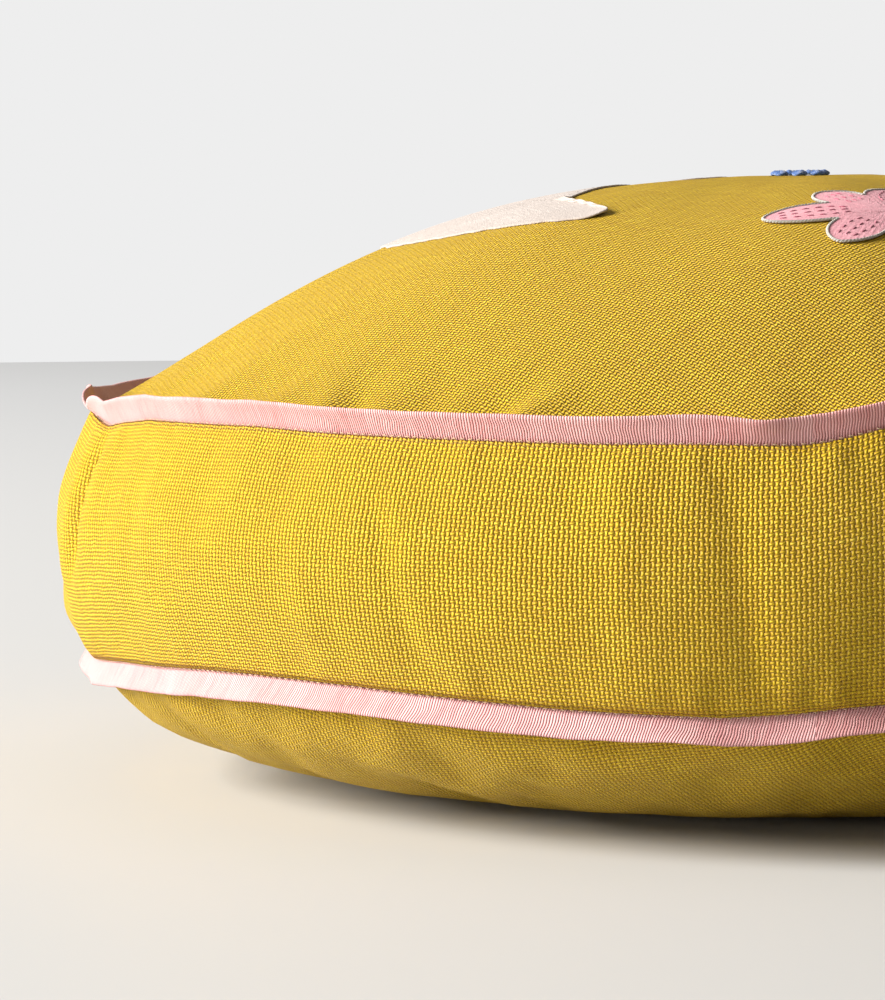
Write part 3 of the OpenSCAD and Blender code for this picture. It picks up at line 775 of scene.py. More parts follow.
# Band: rows from the top seam down to the bottom seam
band_z = TOP_Z - (TOP_Z - LOW_Z) * np.linspace(0, 1, BAND_STEPS * 2 + 1)
band_share = np.linspace(0, 1, BAND_STEPS * 2 + 1)[:, None]
band_run = run_of(inside_band(band_z, 0))
from_seams = np.minimum(band_run, band_run[-1] - band_run)[:, None]
band_relief = (
    0.34 * simulated(sim_band, band_run)
    + 0.5 * MM * ripple(ROUND, 40, 130, 31, 0.2) * np.exp(-from_seams / (8 * MM))
    + 0.7 * MM * ripple(ROUND, 12, 40, 32, 0.3) * np.exp(-from_seams / (30 * MM))
    + 1.3 * MM * ripple(ROUND, 3, 9, 33) * np.sin(math.pi * band_share) ** 1.5
    + band_creases(ROUND, band_share)
    + MM * near(ROUND, -86, 13) * sum(
        high * np.sin(math.pi * np.clip((band_share - start) / wide, 0, 1))
        for high, start, wide in [(-1, 0, 0.5), (-1.9, 0.35, 0.5), (2.2, 0.72, 0.28)]
    )
) * fade(from_seams, 0, 5 * MM)
band_relief = np.maximum(band_relief, -4.5 * MM * fade(from_seams, 8 * MM, 19 * MM) - 0.4 * MM)

# Base: rows from the bottom seam down to the middle of the underside
base = base_profile(BASE_STEPS)
base_run = run_of(base)
base_relief = (
    simulated(sim_base, base_run)
    + 0.5 * MM * ripple(ROUND, 34, 120, 41, 0.2) * np.exp(-base_run[:, None] / (9 * MM))
    + 1.2 * MM * ripple(ROUND, 9, 30, 42, 0.3) * np.exp(-base_run[:, None] / (40 * MM))
) * fade(base_run[:, None], 0, 5 * MM) * fade(base[:, 1:], 0, 12 * MM)


def relief_at(field, run, t, at):
    """A relief read off its grid at turns and runs, by straight lines between its four neighbours."""
    col = (np.asarray(t) % TAU) / TAU * COLUMNS
    row = np.interp(at, run, np.arange(len(run)))
    c0, r0 = np.floor(col).astype(int), np.minimum(np.floor(row).astype(int), len(run) - 2)
    a, b = col - c0, row - r0
    c0, c1 = c0 % COLUMNS, (c0 + 1) % COLUMNS
    return (
        (field[r0, c0] * (1 - a) + field[r0, c1] * a) * (1 - b)
        + (field[r0 + 1, c0] * (1 - a) + field[r0 + 1, c1] * a) * b
    )


# How far in from the seams their wander is felt
CROWN_WANDER = 45 * MM
BASE_WANDER = 40 * MM


def crown_top(x, y):
    """Height of the crown cloth's outer face over a plan position: the profile, its relief stood up
    by the slope, and the seam's wander spread inward."""
    r, t = np.hypot(x, y), np.arctan2(x, -y)
    run = np.interp(r, crown[:, 0], crown_run)
    up = np.interp(r, crown[:, 0], left_of(crown)[:, 1])
    out = relief_at(crown_relief, crown_run, t, run) / np.maximum(up, 0.3)
    return crown_z(r) + out + top_rise(t) * np.exp(-(crown_run[-1] - run) / CROWN_WANDER)


# ---------------------------------------------------------------- cover pieces

def crown_cloth():
    """The crown panel from its middle to the seam, then turned down inside the band."""
    rise = top_rise(ROUND)
    spread = np.exp(-in_from_seam / CROWN_WANDER)
    shown = carried(crown, ROUND, crown_relief, rise * spread)
    tucked = inside_band(TOP_Z - np.linspace(0.8 * MM, ALLOWANCE, 5), PANEL - CLOTH / 2)
    hidden = carried(tucked, ROUND, 0, rise)
    points = np.concatenate([shown, hidden])
    run = np.concatenate([crown_run, crown_run[-1] + run_of(tucked) + 1 * MM])
    return thickened(surface("top_panel_cloth", points, flat_disc(run, ROUND), poles=True), CLOTH)


def base_cloth():
    """The underside panel: turned up inside the band, out to the seam, round and down to the flat."""
    rise = low_rise(ROUND)
    spread = np.exp(-base_run[:, None] / BASE_WANDER) * fade(base[:, 1:], 0, 10 * MM)
    shown = carried(base, ROUND, base_relief, rise * spread)
    tucked = inside_band(LOW_Z + np.linspace(ALLOWANCE, 0.8 * MM, 5), PANEL - CLOTH / 2)
    points = np.concatenate([carried(tucked, ROUND, 0, rise), shown])
    run = base_run[-1] + ALLOWANCE - np.concatenate([run_of(tucked), ALLOWANCE + base_run])
    return thickened(surface("bottom_panel_cloth", points, flat_disc(run, ROUND), poles=True), CLOTH)


def band_cloth(name, first, last, top, low, columns, top_turn, low_turn):
    """A stretch of the side band between two turns in degrees and two heights: its outer face with
    creases, and its edges folded in behind it by the depths given."""
    t = np.radians(np.linspace(first, last, columns))
    steps = max(8, int(round((top - low) / (TOP_Z - LOW_Z) * BAND_STEPS * 1.5)))
    face_z = np.linspace(top, low, steps + 1)
    face = inside_band(face_z, 0)
    up_in = inside_band(top - np.linspace(top_turn, 0.25 * MM, 5), TURNED - CLOTH / 2)
    down_in = inside_band(low + np.linspace(0.25 * MM, low_turn, 5), TURNED - CLOTH / 2)
    profile = np.concatenate([up_in, face, down_in])
    share = np.clip((TOP_Z - profile[:, 1]) / (TOP_Z - LOW_Z), 0, 1)
    run = np.interp(share, band_share[:, 0], band_run)
    grid_t, grid_run = np.meshgrid(t, run)
    out = relief_at(band_relief, band_run, grid_t, grid_run)
    hem = fade(np.abs(profile[:, 1:] - ZIP_Z), HEM_Z + 1 * MM, HEM_Z + 22 * MM)
    at_zip = fade(np.abs(np.degrees(turned(t))), 118, 128)
    out = out * (1 - at_zip * (1 - hem))
    rise = top_rise(t) * (1 - share[:, None]) + low_rise(t) * share[:, None]
    normal = left_of(face)[np.clip(np.arange(len(profile)) - 5, 0, len(face) - 1)]
    r = profile[:, :1] + normal[:, :1] * out
    z = profile[:, 1:] + normal[:, 1:] * out + rise
    flat = flat_strip(run_of(profile), (t - t[0]) * (TOP_R + BULGE))
    return thickened(surface(name, on_arc(t, r, z), flat, round_t=False), CLOTH)


def ribbon(name, seam_z, rise, up, seed):
    """A folded ribbon along a seam. Its middle line leaves the seam's layers, then stands out at an
    angle and a width that wander round the cushion, and curls a little. The wall is a closed loop
    round that line, with a fuller fold at the free edge."""
    t = np.linspace(0, TAU, 2600, endpoint=False)
    angle = 67 + 3 * ripple(t, 3, 9, seed) + 1.3 * ripple(t, 14, 40, seed + 1, 0.2)
    show = 11.2 + 0.2 * ripple(t, 3, 16, seed + 2) + 0.06 * ripple(t, 40, 90, seed + 3)
    curl = 3 + 5 * ripple(t, 5, 16, seed + 4, 0.3)
    if up > 0:
        angle = angle - 26 * near(t, -76.5, 2.2) + 14 * near(t, -82, 3) - 24 * near(t, -104, 16)
        show = show - 4.2 * near(t, -76.5, 1.5) - 1.2 * near(t, -100, 18)
        angle = angle - 8 * near(t, -3.2, 1.6) + 6 * near(t, -8, 3)
    else:
        angle = angle - 10 * near(t, -9, 4) + 8 * near(t, -4, 3) + 14 * near(t, -76, 4)
        curl = curl + 24 * near(t, -7.5, 3.5)
    s = np.linspace(0, 1, 11)[:, None]
    lean = np.radians(angle + curl * (0.5 - s))
    step = show * MM / 10
    dr, dz = (
        np.vstack([np.zeros((1, len(t))), np.cumsum((part[1:] + part[:-1]) / 2 * step, 0)])
        for part in (np.cos(lean), np.sin(lean))
    )
    root = inside_band([seam_z], RIBBON)[0]
    k = band_slope(seam_z)
    root = root + up * 0.5 * MM / math.hypot(1, k) * np.array([k, 1])
    inner = inside_band(seam_z - up * np.linspace(ALLOWANCE, 1.2 * MM, 4), RIBBON)
    r = np.concatenate([np.repeat(inner[:, :1], len(t), 1), root[0] + dr])
    z = np.concatenate([np.repeat(inner[:, 1:], len(t), 1), root[1] + up * dz])
    ar, az = np.gradient(r, axis=0), np.gradient(z, axis=0)
    size = np.hypot(ar, az)
    ar, az = ar / size, az / size
    wide = np.full(len(r), 0.4 * MM)
    wide[-4:] = np.array([0.42, 0.5, 0.56, 0.46]) * MM
    wide = wide[:, None]
    left_r, left_z = r - az * wide, z + ar * wide
    right_r, right_z = (r + az * wide)[::-1], (z - ar * wide)[::-1]
    tip_r, tip_z = r[-1:] + ar[-1:] * 0.42 * MM, z[-1:] + az[-1:] * 0.42 * MM
    loop_r = np.concatenate([left_r, tip_r, right_r])
    loop_z = np.concatenate([left_z, tip_z, right_z]) + rise(t)
    first = np.column_stack([loop_r[:, 0], loop_z[:, 0]])
    flat = flat_strip(run_of(np.vstack([first, first[:1]])), np.append(t, TAU) * TOP_R)
    return surface(name, on_arc(t, loop_r, loop_z), flat, round_s=True)


def seam_stitches(name, r, z, rise, seed):
    """Small stitches where a ribbon meets the band, each at a slightly different slant."""
    count = 560
    t = np.linspace(0, TAU, count, endpoint=False)
    rng = np.random.default_rng(seed)
    along = np.stack([np.cos(t), np.sin(t), rng.normal(0, 0.16, count)], -1)
    return stitches(name, on_arc(t, r, z + rise(t)), along, on_arc(t, 1, 0), 2.0 * MM, 0.42 * MM)


mustard_crown = slub_linen("linen_crown", turn=38)
mustard_band = slub_linen("linen_band")
mustard_base = slub_linen("linen_base", turn=24)
pink_top = grosgrain("grosgrain_top")
# Painted shade: the bottom ribbon is the same grosgrain with darker pinks than the top one, for the shade it sits in.
painted_shade_pink_low = grosgrain("grosgrain_bottom", lit=(221, 168, 168), deep=(204, 137, 136), lean=0.28)

crown_piece = dress(crown_cloth(), mustard_crown, "top_panel")
base_piece = dress(base_cloth(), mustard_base, "bottom_panel")
front_piece, upper_piece, lower_piece = (
    dress(band_cloth(node + "_cloth", *cut), mustard_band, node)
    for node, *cut in [
        ("front_band", -130.2, 130.2, TOP_Z, LOW_Z, 900, ALLOWANCE, ALLOWANCE),
        ("zip_band_upper", 130.4, 229.6, TOP_Z, ZIP_Z + HEM_Z, 340, ALLOWANCE, 8 * MM),
        ("zip_band_lower", 130.4, 229.6, ZIP_Z - HEM_Z, LOW_Z, 340, 8 * MM, ALLOWANCE),
    ]
)
for seam, z, rise, up, seed, pink in [
    ("top", TOP_Z, top_rise, 1, 51, pink_top), ("bottom", LOW_Z, low_rise, -1, 61, painted_shade_pink_low),
]:
    dress(ribbon(seam + "_ribbon_grosgrain", z, rise, up, seed), pink, seam + "_ribbon")
seam_finish = thread_finish("seam_thread_finish", (226, 196, 150), (168, 128, 84))
for seam, r, z, rise, seed in [
    ("top", TOP_R, TOP_Z + 0.3 * MM, top_rise, 71), ("bottom", LOW_R, LOW_Z - 0.3 * MM, low_rise, 72),
]:
    line = seam_stitches(seam + "_seam_stitches", r - 0.55 * MM, z, rise, seed)
    dress(line, seam_finish, seam + "_seam_thread")


# ---------------------------------------------------------------- felt flowers and yarn

CREAM_CORNERS = [
    (-168, -33, 10), (-86, -104, 2), (-77, -101, -1), (-97, -57, -2), (-79, 0, 2),
    (-66, 56, 7), (8, 98, 12), (-79, 126, 12), (-134, 176, 14), (-196, 132, 12),
    (-236, 88, 7), (-176, 52, 2),
]
CREAM_MIDDLE = np.array([-138, 40]) * MM
PINK_MIDDLE = np.array([29, -131]) * MM
PINK_TURN = 190
PINK_R = 48 * MM
PINK_LENGTHS = [1, 0.85, 0.93, 0.9, 0.97, 0.86, 0.74]
KNOTS_MIDDLE = np.array([-9, 9]) * MM
FELT = 0.85 * MM


def evened(loop, count, soften=0):
    """A closed line brought to that many points at even spacing, then softened so many times by
    averaging each point with its neighbours."""
    loop = np.vstack([loop, loop[:1]])
    run = run_of(loop)
    at = np.linspace(0, run[-1], count, endpoint=False)
    loop = np.stack([np.interp(at, run, loop[:, 0]), np.interp(at, run, loop[:, 1])], -1)
    for _ in range(soften):
        loop = (np.roll(loop, 1, 0) + 2 * loop + np.roll(loop, -1, 0)) / 4
    return loop


def outward(loop):
    """Unit normals on the outside of a closed line that runs anticlockwise."""
    along = unit(np.roll(loop, -1, 0) - np.roll(loop, 1, 0))
    return np.stack([along[:, 1], -along[:, 0]], -1)


def cream_outline():
    """The cream flower from above: between its corners the edge is a parabola that rises by each
    corner's third number, and the scissors leave small flats and kinks."""
    corners = np.array(CREAM_CORNERS, float) * MM
    a, b, rise = corners[:, :2], np.roll(corners[:, :2], -1, 0), corners[:, 2:]
    along = unit(b - a)
    middle = (a + b) / 2 + 2 * rise * np.stack([along[:, 1], -along[:, 0]], -1)
    u = np.linspace(0, 1, 40, endpoint=False)[None, :, None]
    line = (1 - u) ** 2 * a[:, None] + 2 * u * (1 - u) * middle[:, None] + u**2 * b[:, None]
    loop = evened(line.reshape(-1, 2), 900, 14)
    t = np.linspace(0, TAU, 900, endpoint=False)
    return loop + outward(loop) * (0.28 * ripple(t, 30, 90, 81, 0.2) * MM)[:, None]


def pink_outline():
    """The pink flower from above: blunt petals whose half width falls as (1 - s^2.4)^0.6 from the
    notch to the tip, with rounded notches."""
    notch = 0.43 * PINK_R
    s = np.sin(np.linspace(0, math.pi / 2, 30))
    s = np.concatenate([s, s[-2:0:-1]])
    side = np.concatenate([-np.ones(30), np.ones(28)])
    length = np.array(PINK_LENGTHS)[:, None] * PINK_R
    a = np.radians(PINK_TURN + 360 / 7 * np.arange(7))[:, None]
    along = notch + (length - notch) * s
    across = side * (notch * math.tan(math.pi / 7) + 0.6 * MM * np.sin(math.pi * s)) * (1 - s**2.4) ** 0.6
    x = along * np.cos(a) - across * np.sin(a)
    y = along * np.sin(a) + across * np.cos(a)
    return evened(PINK_MIDDLE + np.stack([x, y], -1).reshape(-1, 2), 840, 10)


def felt_shape(name, outline, middle, lift, curl, rings=36):
    """A felt shape lying on the crown: its upper face shrinks ring by ring from the outline to a
    middle point, its edge is rounded, and its lower face comes back under. curl lifts each point of
    the outline, dying away inward."""
    s = 1 - (1 - np.linspace(0, 1, rings)) ** 1.6
    flat_top = middle + s[:, None, None] * (outline - middle)
    edge = outward(outline)
    lips = [outline + edge * w * MM for w in (0.22, 0.42, 0.42, 0.22)]
    flat = np.concatenate([flat_top, np.stack(lips), flat_top[::-1]])
    level = np.concatenate([np.full(rings, 1.0), [0.93, 0.72, 0.3, 0.07], np.zeros(rings)])
    reach = np.concatenate([s, np.ones(4), s[::-1]])
    up = np.clip(reach - 0.86, 0, 1)[:, None] / 0.14
    x, y = flat[..., 0], flat[..., 1]
    matted = 0.1 * MM * np.sin(x * 2900 + 3 * np.sin(y * 1700)) * np.sin(y * 2600)
    z = crown_top(x, y) + lift + (FELT + matted) * level[:, None] + curl * up**2
    return surface(name, np.stack([x, y, z], -1), poles=True)


def running_stitches(name, line, lift, pitch, length, width, seed):
    """Stitches along a plan line on the crown, at an even pitch with a little unevenness."""
    rng = np.random.default_rng(seed)
    ends = stitch_ends(line, pitch, length, lambda count: rng.normal(0, 0.04 * pitch, count))
    a, b = (np.column_stack([end, crown_top(end[:, 0], end[:, 1])]) for end in ends)
    middles = (a + b) / 2 + [0, 0, lift]
    r = np.hypot(middles[:, 0], middles[:, 1])
    slope = np.interp(r, crown[:, 0], -np.gradient(crown[:, 1], crown[:, 0]))
    up = np.column_stack([middles[:, :2] / r[:, None] * slope[:, None], np.ones(len(r))])
    return stitches(name, middles, b - a, up, length, width)


cream_line = cream_outline()
pink_line = pink_outline()
cream_turn = np.degrees(np.arctan2(*(cream_line - CREAM_MIDDLE).T[::-1]))
tip_curl = 1.5 * MM * np.exp(-((cream_turn + 67) / 2.6) ** 2)
cream_felt = felt("felt_cream_finish", (190, 177, 168), (168, 155, 146), (202, 191, 184))
pink_felt = felt("felt_pink_finish", (226, 160, 168), (200, 124, 136), (236, 186, 190))
cream_piece = dress(
    felt_shape("cream_flower_felt", cream_line, CREAM_MIDDLE, 0.05 * MM, tip_curl),
    cream_felt, "cream_flower",
)
pink_edge = pink_line - outward(pink_line) * 0.7 * MM
pink_piece = dress(
    felt_shape("pink_flower_felt", pink_edge, PINK_MIDDLE, 0.3 * MM, np.zeros(840), 24),
    pink_felt, "pink_flower",
)

cream_thread = thread_finish("thread_cream_finish", (198, 185, 175), (178, 164, 152))
inner = evened(cream_line - outward(cream_line) * 3.6 * MM, 700, 6)
inner = np.vstack([inner, inner[:1]])
dress(
    running_stitches("cream_flower_stitching", inner, FELT - 0.16 * MM, 8 * MM, 3.0 * MM, 0.5 * MM, 83),
    cream_thread, "cream_flower_stitches",
)


def round_cord():
    """The cord round the pink flower: two plies, each a tube whose middle line circles the flower's
    edge line once every 2.6 mm."""
    edge = evened(pink_line, 1500)
    z = crown_top(edge[:, 0], edge[:, 1]) + 0.3 * MM + 0.8 * MM
    run = run_of(np.vstack([edge, edge[:1]]))
    turns = round(run[-1] / (2.6 * MM))
    out = outward(edge)
    plies = []
    for start in (0, math.pi):
        a = TAU * turns * run[:-1] / run[-1] + start
        across, over = 0.27 * MM * np.cos(a), 0.27 * MM * np.sin(a)
        path = np.column_stack([edge + out * across[:, None], z + over])
        plies.append(tube("ply", path, 0.38 * MM, 6, closed=True))
    return joined("pink_flower_cord_plied", plies)


cord_finish = yarn("cord_cream_finish", (255, 251, 242), (232, 220, 200), 0.4)
dress(round_cord(), cord_finish, "pink_flower_cord")


def petal_lines():
    """Three rows of stitching along each pink petal, the outer two bent with the petal's sides."""
    lines = []
    for petal, share in enumerate(PINK_LENGTHS):
        a = math.radians(PINK_TURN + 360 / 7 * petal)
        along = np.linspace(0.3 * PINK_R, (share - 0.11) * PINK_R, 20)
        apart = 5.6 * MM * (1 - 0.45 * (along / along[-1]) ** 4) * fade(along, 0.1 * PINK_R, 0.5 * PINK_R)
        for bend in (-0.9 * apart, 0 * apart, 0.9 * apart):
            x, y = along * math.cos(a) - bend * math.sin(a), along * math.sin(a) + bend * math.cos(a)
            lines.append(PINK_MIDDLE + np.stack([x, y], -1))
    return lines


rose_rows = [
    running_stitches("row", line, 0.3 * MM + FELT + 0.03 * MM, 4.4 * MM, 3.0 * MM, 0.55 * MM, 90 + i)
    for i, line in enumerate(petal_lines())
]
rose_thread = thread_finish("thread_rose_finish", (214, 112, 136), (160, 62, 88))
dress(joined("pink_flower_stitching", rose_rows), rose_thread, "pink_flower_stitches")


def yarn_knots():
    """Eight knots of yarn, seven round one. Each is a strand that winds three times round, rising and
    drawn in at its top, so that it sits as a squat knot."""
    pieces = []
    for k in range(8):
        turn = TAU * k / 7 + 0.2
        out = 0 if k == 7 else 9.25 * MM
        middle = KNOTS_MIDDLE + [4.5 * MM, 0] + out * np.array([math.cos(turn), math.sin(turn)])
        s = np.linspace(0, 1, 150)
        wind = TAU * 3.35 * s + 1.7 * k
        wide = (2.35 - 1.5 * s**1.6) * MM
        x = middle[0] + wide * np.cos(wind)
        y = middle[1] + wide * np.sin(wind)
        z = crown_top(x, y) + (0.75 + 0.8 * s**1.3 + 0.18 * np.sin(3 * wind + k)) * MM
        pieces.append(tube("knot", np.column_stack([x, y, z]), 0.72 * MM, 8))
    return joined("blue_yarn_knots", pieces)


dress(yarn_knots(), yarn("yarn_blue_finish", (72, 122, 196), (26, 62, 132)), "blue_knots")


# ---------------------------------------------------------------- zip

coil_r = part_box("zip_coil_upper")[1].y - 1.3 * MM
coil_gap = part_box("zip_coil_upper")[0].z - ZIP_Z
COIL_FROM, COIL_TO = math.radians(132), math.radians(228)


def zip_coil(name, side):
    """One row of coil: a strand wound as a flattened helix, 1.25 mm for each turn."""
    length = (COIL_TO - COIL_FROM) * coil_r
    turns = int(length / (1.25 * MM))
    s = np.linspace(0, 1, turns * 12)
    wind = TAU * turns * s + (math.pi if side < 0 else 0)
    strand = 0.26 * MM
    across = coil_gap + 1.3 * MM + (1.3 * MM - strand) * np.cos(wind)
    out = (1.3 * MM - strand) * np.sin(wind)
    path = on_arc(COIL_FROM + (COIL_TO - COIL_FROM) * s, coil_r + out, ZIP_Z + side * across)
    return tube(name, path, strand, 5)


def zip_tape(name, side):
    """A woven tape: a flat strip from beside the coil out behind the hem."""
    lo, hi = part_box("zip_tape_upper")
    t = np.radians(np.linspace(130.5, 229.5, 420))
    across = np.concatenate([np.linspace(lo.z, hi.z, 9), np.linspace(hi.z, lo.z, 9)]) - ZIP_Z
    middle = band_r(ZIP_Z + side * across) - (TURNED + 1.04 * MM)
    wall = np.concatenate([np.full(9, 0.3), np.full(9, -0.3)]) * MM
    order = slice(None) if side < 0 else slice(None, None, -1)
    r, z = (middle + wall)[order], (ZIP_Z + side * across)[order]
    loop = np.column_stack([r, z])
    flat = flat_strip(run_of(np.vstack([loop, loop[:1]])), t * coil_r)
    return surface(name, on_arc(t, r[:, None], z[:, None]), flat, round_t=False, round_s=True)


tape_finish = zip_weave("zip_tape_finish")
coil_finish = coil_plastic("zip_coil_finish")
metal = brushed_metal("zip_metal_finish")
for make, kind, end, finish in [
    (zip_tape, "zip_tape", "_woven", tape_finish), (zip_coil, "zip_coil", "_wound", coil_finish),
]:
    for row, side in (("_upper", 1), ("_lower", -1)):
        dress(make(kind + row + end, side), finish, kind + row)
for node in ("zip_top_stops", "zip_bottom_stop", "zip_slider", "zip_pull"):
    wear(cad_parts[node], metal)


def straight_rows(name, lines, pitch, length, width):
    """Stitches along lines of (turn, radius, height) on the band, bowing outwards."""
    made = []
    for line in lines:
        a, b = stitch_ends(on_arc(*line), pitch, length)
        middles = (a + b) / 2
        up = np.column_stack([unit(middles[:, :2]), np.zeros(len(middles))])
        made.append(stitches("row", middles, b - a, up, length, width))
    return joined(name, made)


cover_thread = thread_finish("cover_thread_finish", (206, 182, 66), (142, 116, 18))
zip_turns = np.radians(np.linspace(131, 229, 300))
hems = [ZIP_Z + side * (HEM_Z + 4 * MM) for side in (-1, 1)]
rows = [(zip_turns, band_r(z) + 0.15 * MM, z) for z in hems]
topstitching = straight_rows("zip_topstitches", rows, 3.4 * MM, 2.5 * MM, 0.55 * MM)
dress(topstitching, cover_thread, "zip_topstitching")
up_z = np.linspace(LOW_Z + 3 * MM, TOP_Z - 3 * MM, 60)
joins = [(np.full(60, math.radians(a)), band_r(up_z) + 0.12 * MM, up_z) for a in (130.27, 229.73)]
join_stitches = straight_rows("band_join_stitches", joins, 2.8 * MM, 2.2 * MM, 0.5 * MM)
dress(join_stitches, cover_thread, "band_join_thread")


# ---------------------------------------------------------------- insert

insert_top_z, insert_low_z = TOP_Z - 5 * MM, LOW_Z + 5 * MM
insert_top_r, insert_low_r = band_r(insert_top_z) - 8 * MM, band_r(insert_low_z) - 8 * MM
T_INSERT = np.linspace(0, TAU, 360, endpoint=False)


def under_cover(profile):
    """The cover's relief over each point of a profile inside it, so that what is inside follows the
    cover: the crown's or the base's at the same radius, or the band's at the same height."""
    r, z = profile[:, :1], profile[:, 1:]
    top = relief_at(crown_relief, crown_run, T_INSERT, np.interp(r, crown[:, 0], crown_run))
    side = relief_at(band_relief, band_run, T_INSERT, np.interp(-z, -band_z, band_run))
    low = relief_at(base_relief, base_run, T_INSERT, np.interp(-r, -base[:, 0], base_run))
    edge = 6 * MM
    return np.where(z > TOP_Z - edge, top, np.where(z < LOW_Z + edge, low, side))


def insert_panel(name, profile, seed, open_first=False, open_last=False):
    """A calico panel of the insert, with soft gathers that die away from its open edges."""
    run = run_of(profile)
    gap = np.full(len(run), 1.0)
    if open_first:
        gap = np.minimum(gap, run / (60 * MM))
    if open_last:
        gap = np.minimum(gap, (run[-1] - run) / (60 * MM))
    gap = gap[:, None]
    gathers = np.abs(ripple(T_INSERT, 20, 70, seed, 0.2)) * np.exp(-gap * 3) * np.minimum(gap * 12, 1)
    points = carried(profile, T_INSERT, under_cover(profile) - 0.5 * MM * gathers)
    poles = bool(profile[:, 0].min() < 0.01 * MM)
    if poles:
        reach = run if profile[0, 0] < 0.01 * MM else run[-1] - run
        flat = flat_disc(reach, T_INSERT) * [1, -1]
    else:
        flat = flat_strip(run, np.append(T_INSERT, TAU) * insert_top_r)
    return thickened(surface(name, points, flat, poles=poles), 0.6 * MM)


r = insert_top_r * np.sin(np.linspace(0, math.pi / 2, 45))
top_profile = np.stack([r, crown_z(r, insert_top_r, insert_top_z, CROWN_Z - 2 * MM)], -1)
side_z = np.linspace(insert_top_z - 0.6 * MM, insert_low_z + 0.6 * MM, 24)
side_profile = np.stack([band_r(side_z) - 8 * MM, side_z], -1)
low_profile = base_profile(24, insert_low_r, insert_low_z, REST_R - 2 * MM, 2 * MM)
calico_finish = calico("calico_finish")
insert_top, insert_side, insert_low = (
    dress(insert_panel(node + "_calico", *shape), calico_finish, node)
    for node, *shape in [
        ("insert_top", top_profile, 101, False, True),
        ("insert_side", side_profile, 102, True, True),
        ("insert_bottom", low_profile, 103, True, False),
    ]
)


def filling_form():
    """The filling: the insert's closed form drawn in a little, with soft tufts pushed into it."""
    r = (insert_top_r - 1.6 * MM) * np.sin(np.linspace(0, math.pi / 2, 40))
    top = np.stack([r, crown_z(r, insert_top_r - 1.6 * MM, insert_top_z - 1.4 * MM, CROWN_Z - 4 * MM)], -1)
    z = np.linspace(insert_top_z - 2.4 * MM, insert_low_z + 2.4 * MM, 20)
    side = np.stack([band_r(z) - 9.6 * MM, z], -1)
    low = base_profile(24, insert_low_r - 1.6 * MM, insert_low_z + 1.4 * MM, REST_R - 4 * MM, 3.6 * MM)
    profile = np.concatenate([top, side, low])
    run = run_of(profile)[:, None]
    tufts = np.sin(run * 190 + 2 * np.sin(T_INSERT * 9)) * np.sin(T_INSERT * 31 + 1.5 * np.sin(run * 60))
    tufts = (tufts - 1) * 0.9 * MM
    points = carried(profile, T_INSERT, tufts * fade(profile[:, :1], 0, 40 * MM) + under_cover(profile))
    return surface("filling_fibre", points, poles=True)


filling_piece = dress(filling_form(), fibre_fill("fibre_finish"), "filling")
ring_t = np.linspace(0, TAU, 400)
rings = [(ring_t, r + 0.5 * MM, z) for r, z in ((insert_top_r, insert_top_z), (insert_low_r, insert_low_z))]
insert_thread = thread_finish("insert_thread_finish", (246, 242, 232), (206, 198, 180))
insert_stitches = straight_rows("insert_seam_stitches", rings, 4 * MM, 3 * MM, 0.6 * MM)
dress(insert_stitches, insert_thread, "insert_seam_thread")
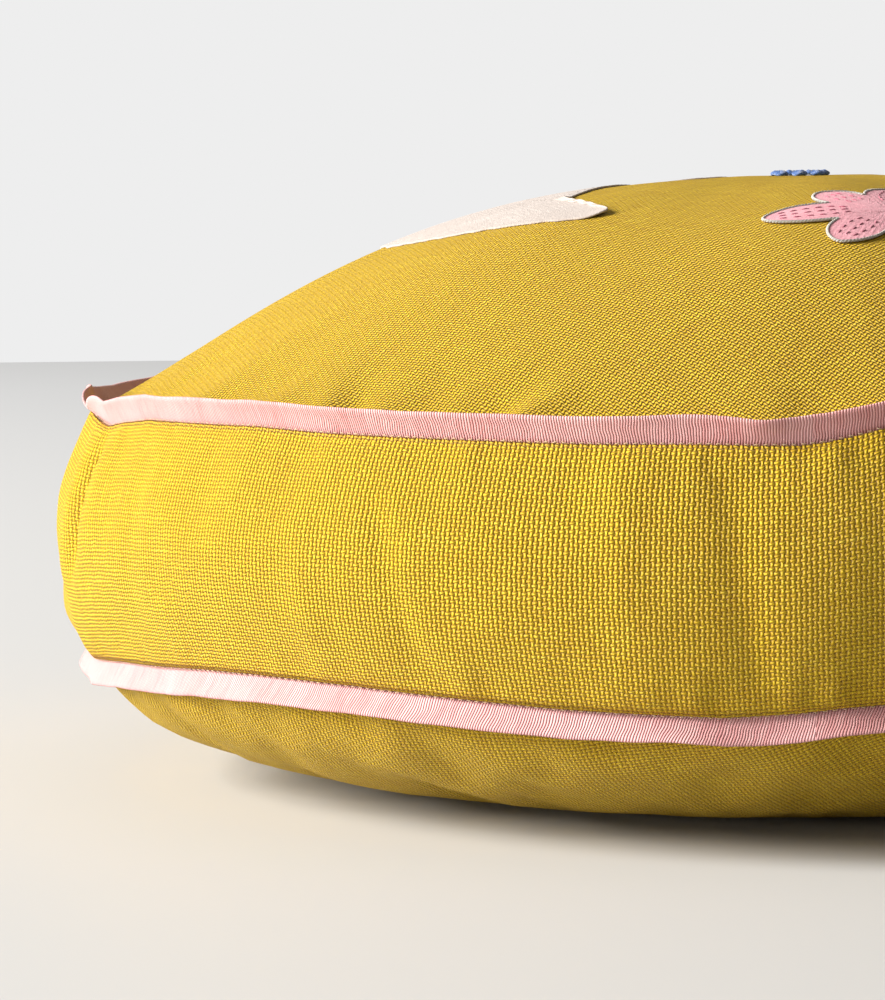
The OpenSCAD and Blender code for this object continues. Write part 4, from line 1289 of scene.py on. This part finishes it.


# ---------------------------------------------------------------- camera, light and floor

def aim_camera():
    """Sets the camera in front of the cushion's middle, then pans, tilts and rolls it."""
    back, rise, pan, tilt, roll = 1.940, math.radians(4.792), 0.07760, 0.00161, math.radians(-0.859)
    target = np.array([0, 0, ZIP_Z])
    away = np.array([0, -math.cos(rise), math.sin(rise)])
    turn = np.array([[math.cos(pan), -math.sin(pan), 0], [math.sin(pan), math.cos(pan), 0], [0, 0, 1]])
    ahead, right = turn @ -away, turn @ np.array([1.0, 0, 0])
    up = np.cross(right, ahead)
    c, s = math.cos(tilt), math.sin(tilt)
    ahead, up = c * ahead + s * up, c * up - s * ahead
    c, s = math.cos(roll), math.sin(roll)
    right, up = c * right + s * up, c * up - s * right
    camera = linked("camera", bpy.data.cameras.new("camera"))
    camera.data.lens = 172.51
    camera.data.sensor_width = 36
    camera.data.clip_end = 60
    frame_of = np.identity(4)
    frame_of[:3] = np.stack([right, up, -ahead, target + back * away], -1)
    camera.matrix_world = Matrix(frame_of.tolist())
    bpy.context.scene.camera = camera


def soft_light(name, place, aim, size, power, colour):
    """A square area light that faces the aim point."""
    lamp = bpy.data.lights.new(name, "AREA")
    lamp.shape, lamp.size, lamp.energy, lamp.color = "SQUARE", size, power, colour
    light = linked(name, lamp)
    light.location = place
    direction = np.array(aim) - np.array(place)
    light.rotation_euler = Vector(direction).to_track_quat("-Z", "Y").to_euler()


def lay_floor():
    """A pale floor with painted light, lighter towards the back, that ends in a straight edge behind the cushion,
    under an even pale backdrop.
    """
    x, y = np.meshgrid(np.linspace(-6, 6, 13), np.array([-6.0, -3, -1, 0, 1, 2, 3.1]), indexing="xy")
    points = np.stack([x, y, np.full_like(x, -0.0004)], -1)
    floor = surface("floor", points[::-1], round_t=False)
    f = Finish("floor_paint", 0.55, 0.3)
    # Painted light: the floor's colour grows lighter towards the back, standing in for the light falling across it.
    painted_light_far = f.shaped(f.apart(f.place())[1], -0.2, 2.6)
    f.coloured(f.blend(painted_light_far, tint(199, 198, 196), tint(213, 214, 215)))
    floor.data.materials.append(f.material)
    world = bpy.data.worlds.new("backdrop")
    world.use_nodes = True
    tree = world.node_tree
    shown = tree.nodes["Background"]
    shown.inputs[0].default_value = tint(238, 238, 238)
    room = tree.nodes.new("ShaderNodeBackground")
    room.inputs[0].default_value = tint(238, 236, 234)
    room.inputs[1].default_value = 0.34
    either = tree.nodes.new("ShaderNodeMixShader")
    path = tree.nodes.new("ShaderNodeLightPath")
    tree.links.new(path.outputs["Is Camera Ray"], either.inputs[0])
    tree.links.new(room.outputs[0], either.inputs[1])
    tree.links.new(shown.outputs[0], either.inputs[2])
    tree.links.new(either.outputs[0], tree.nodes["World Output"].inputs[0])
    bpy.context.scene.world = world


aim_camera()
lay_floor()
soft_light("key", (-5.4, -1.0, 2.5), (0, 0, 0.1), 2.9, 1000, (1.0, 0.985, 0.96))
soft_light("low", (-3.4, -1.5, 0.3), (-0.1, -0.2, 0.05), 0.5, 34, (1.0, 0.985, 0.95))
bpy.context.scene.view_settings.view_transform = "Standard"
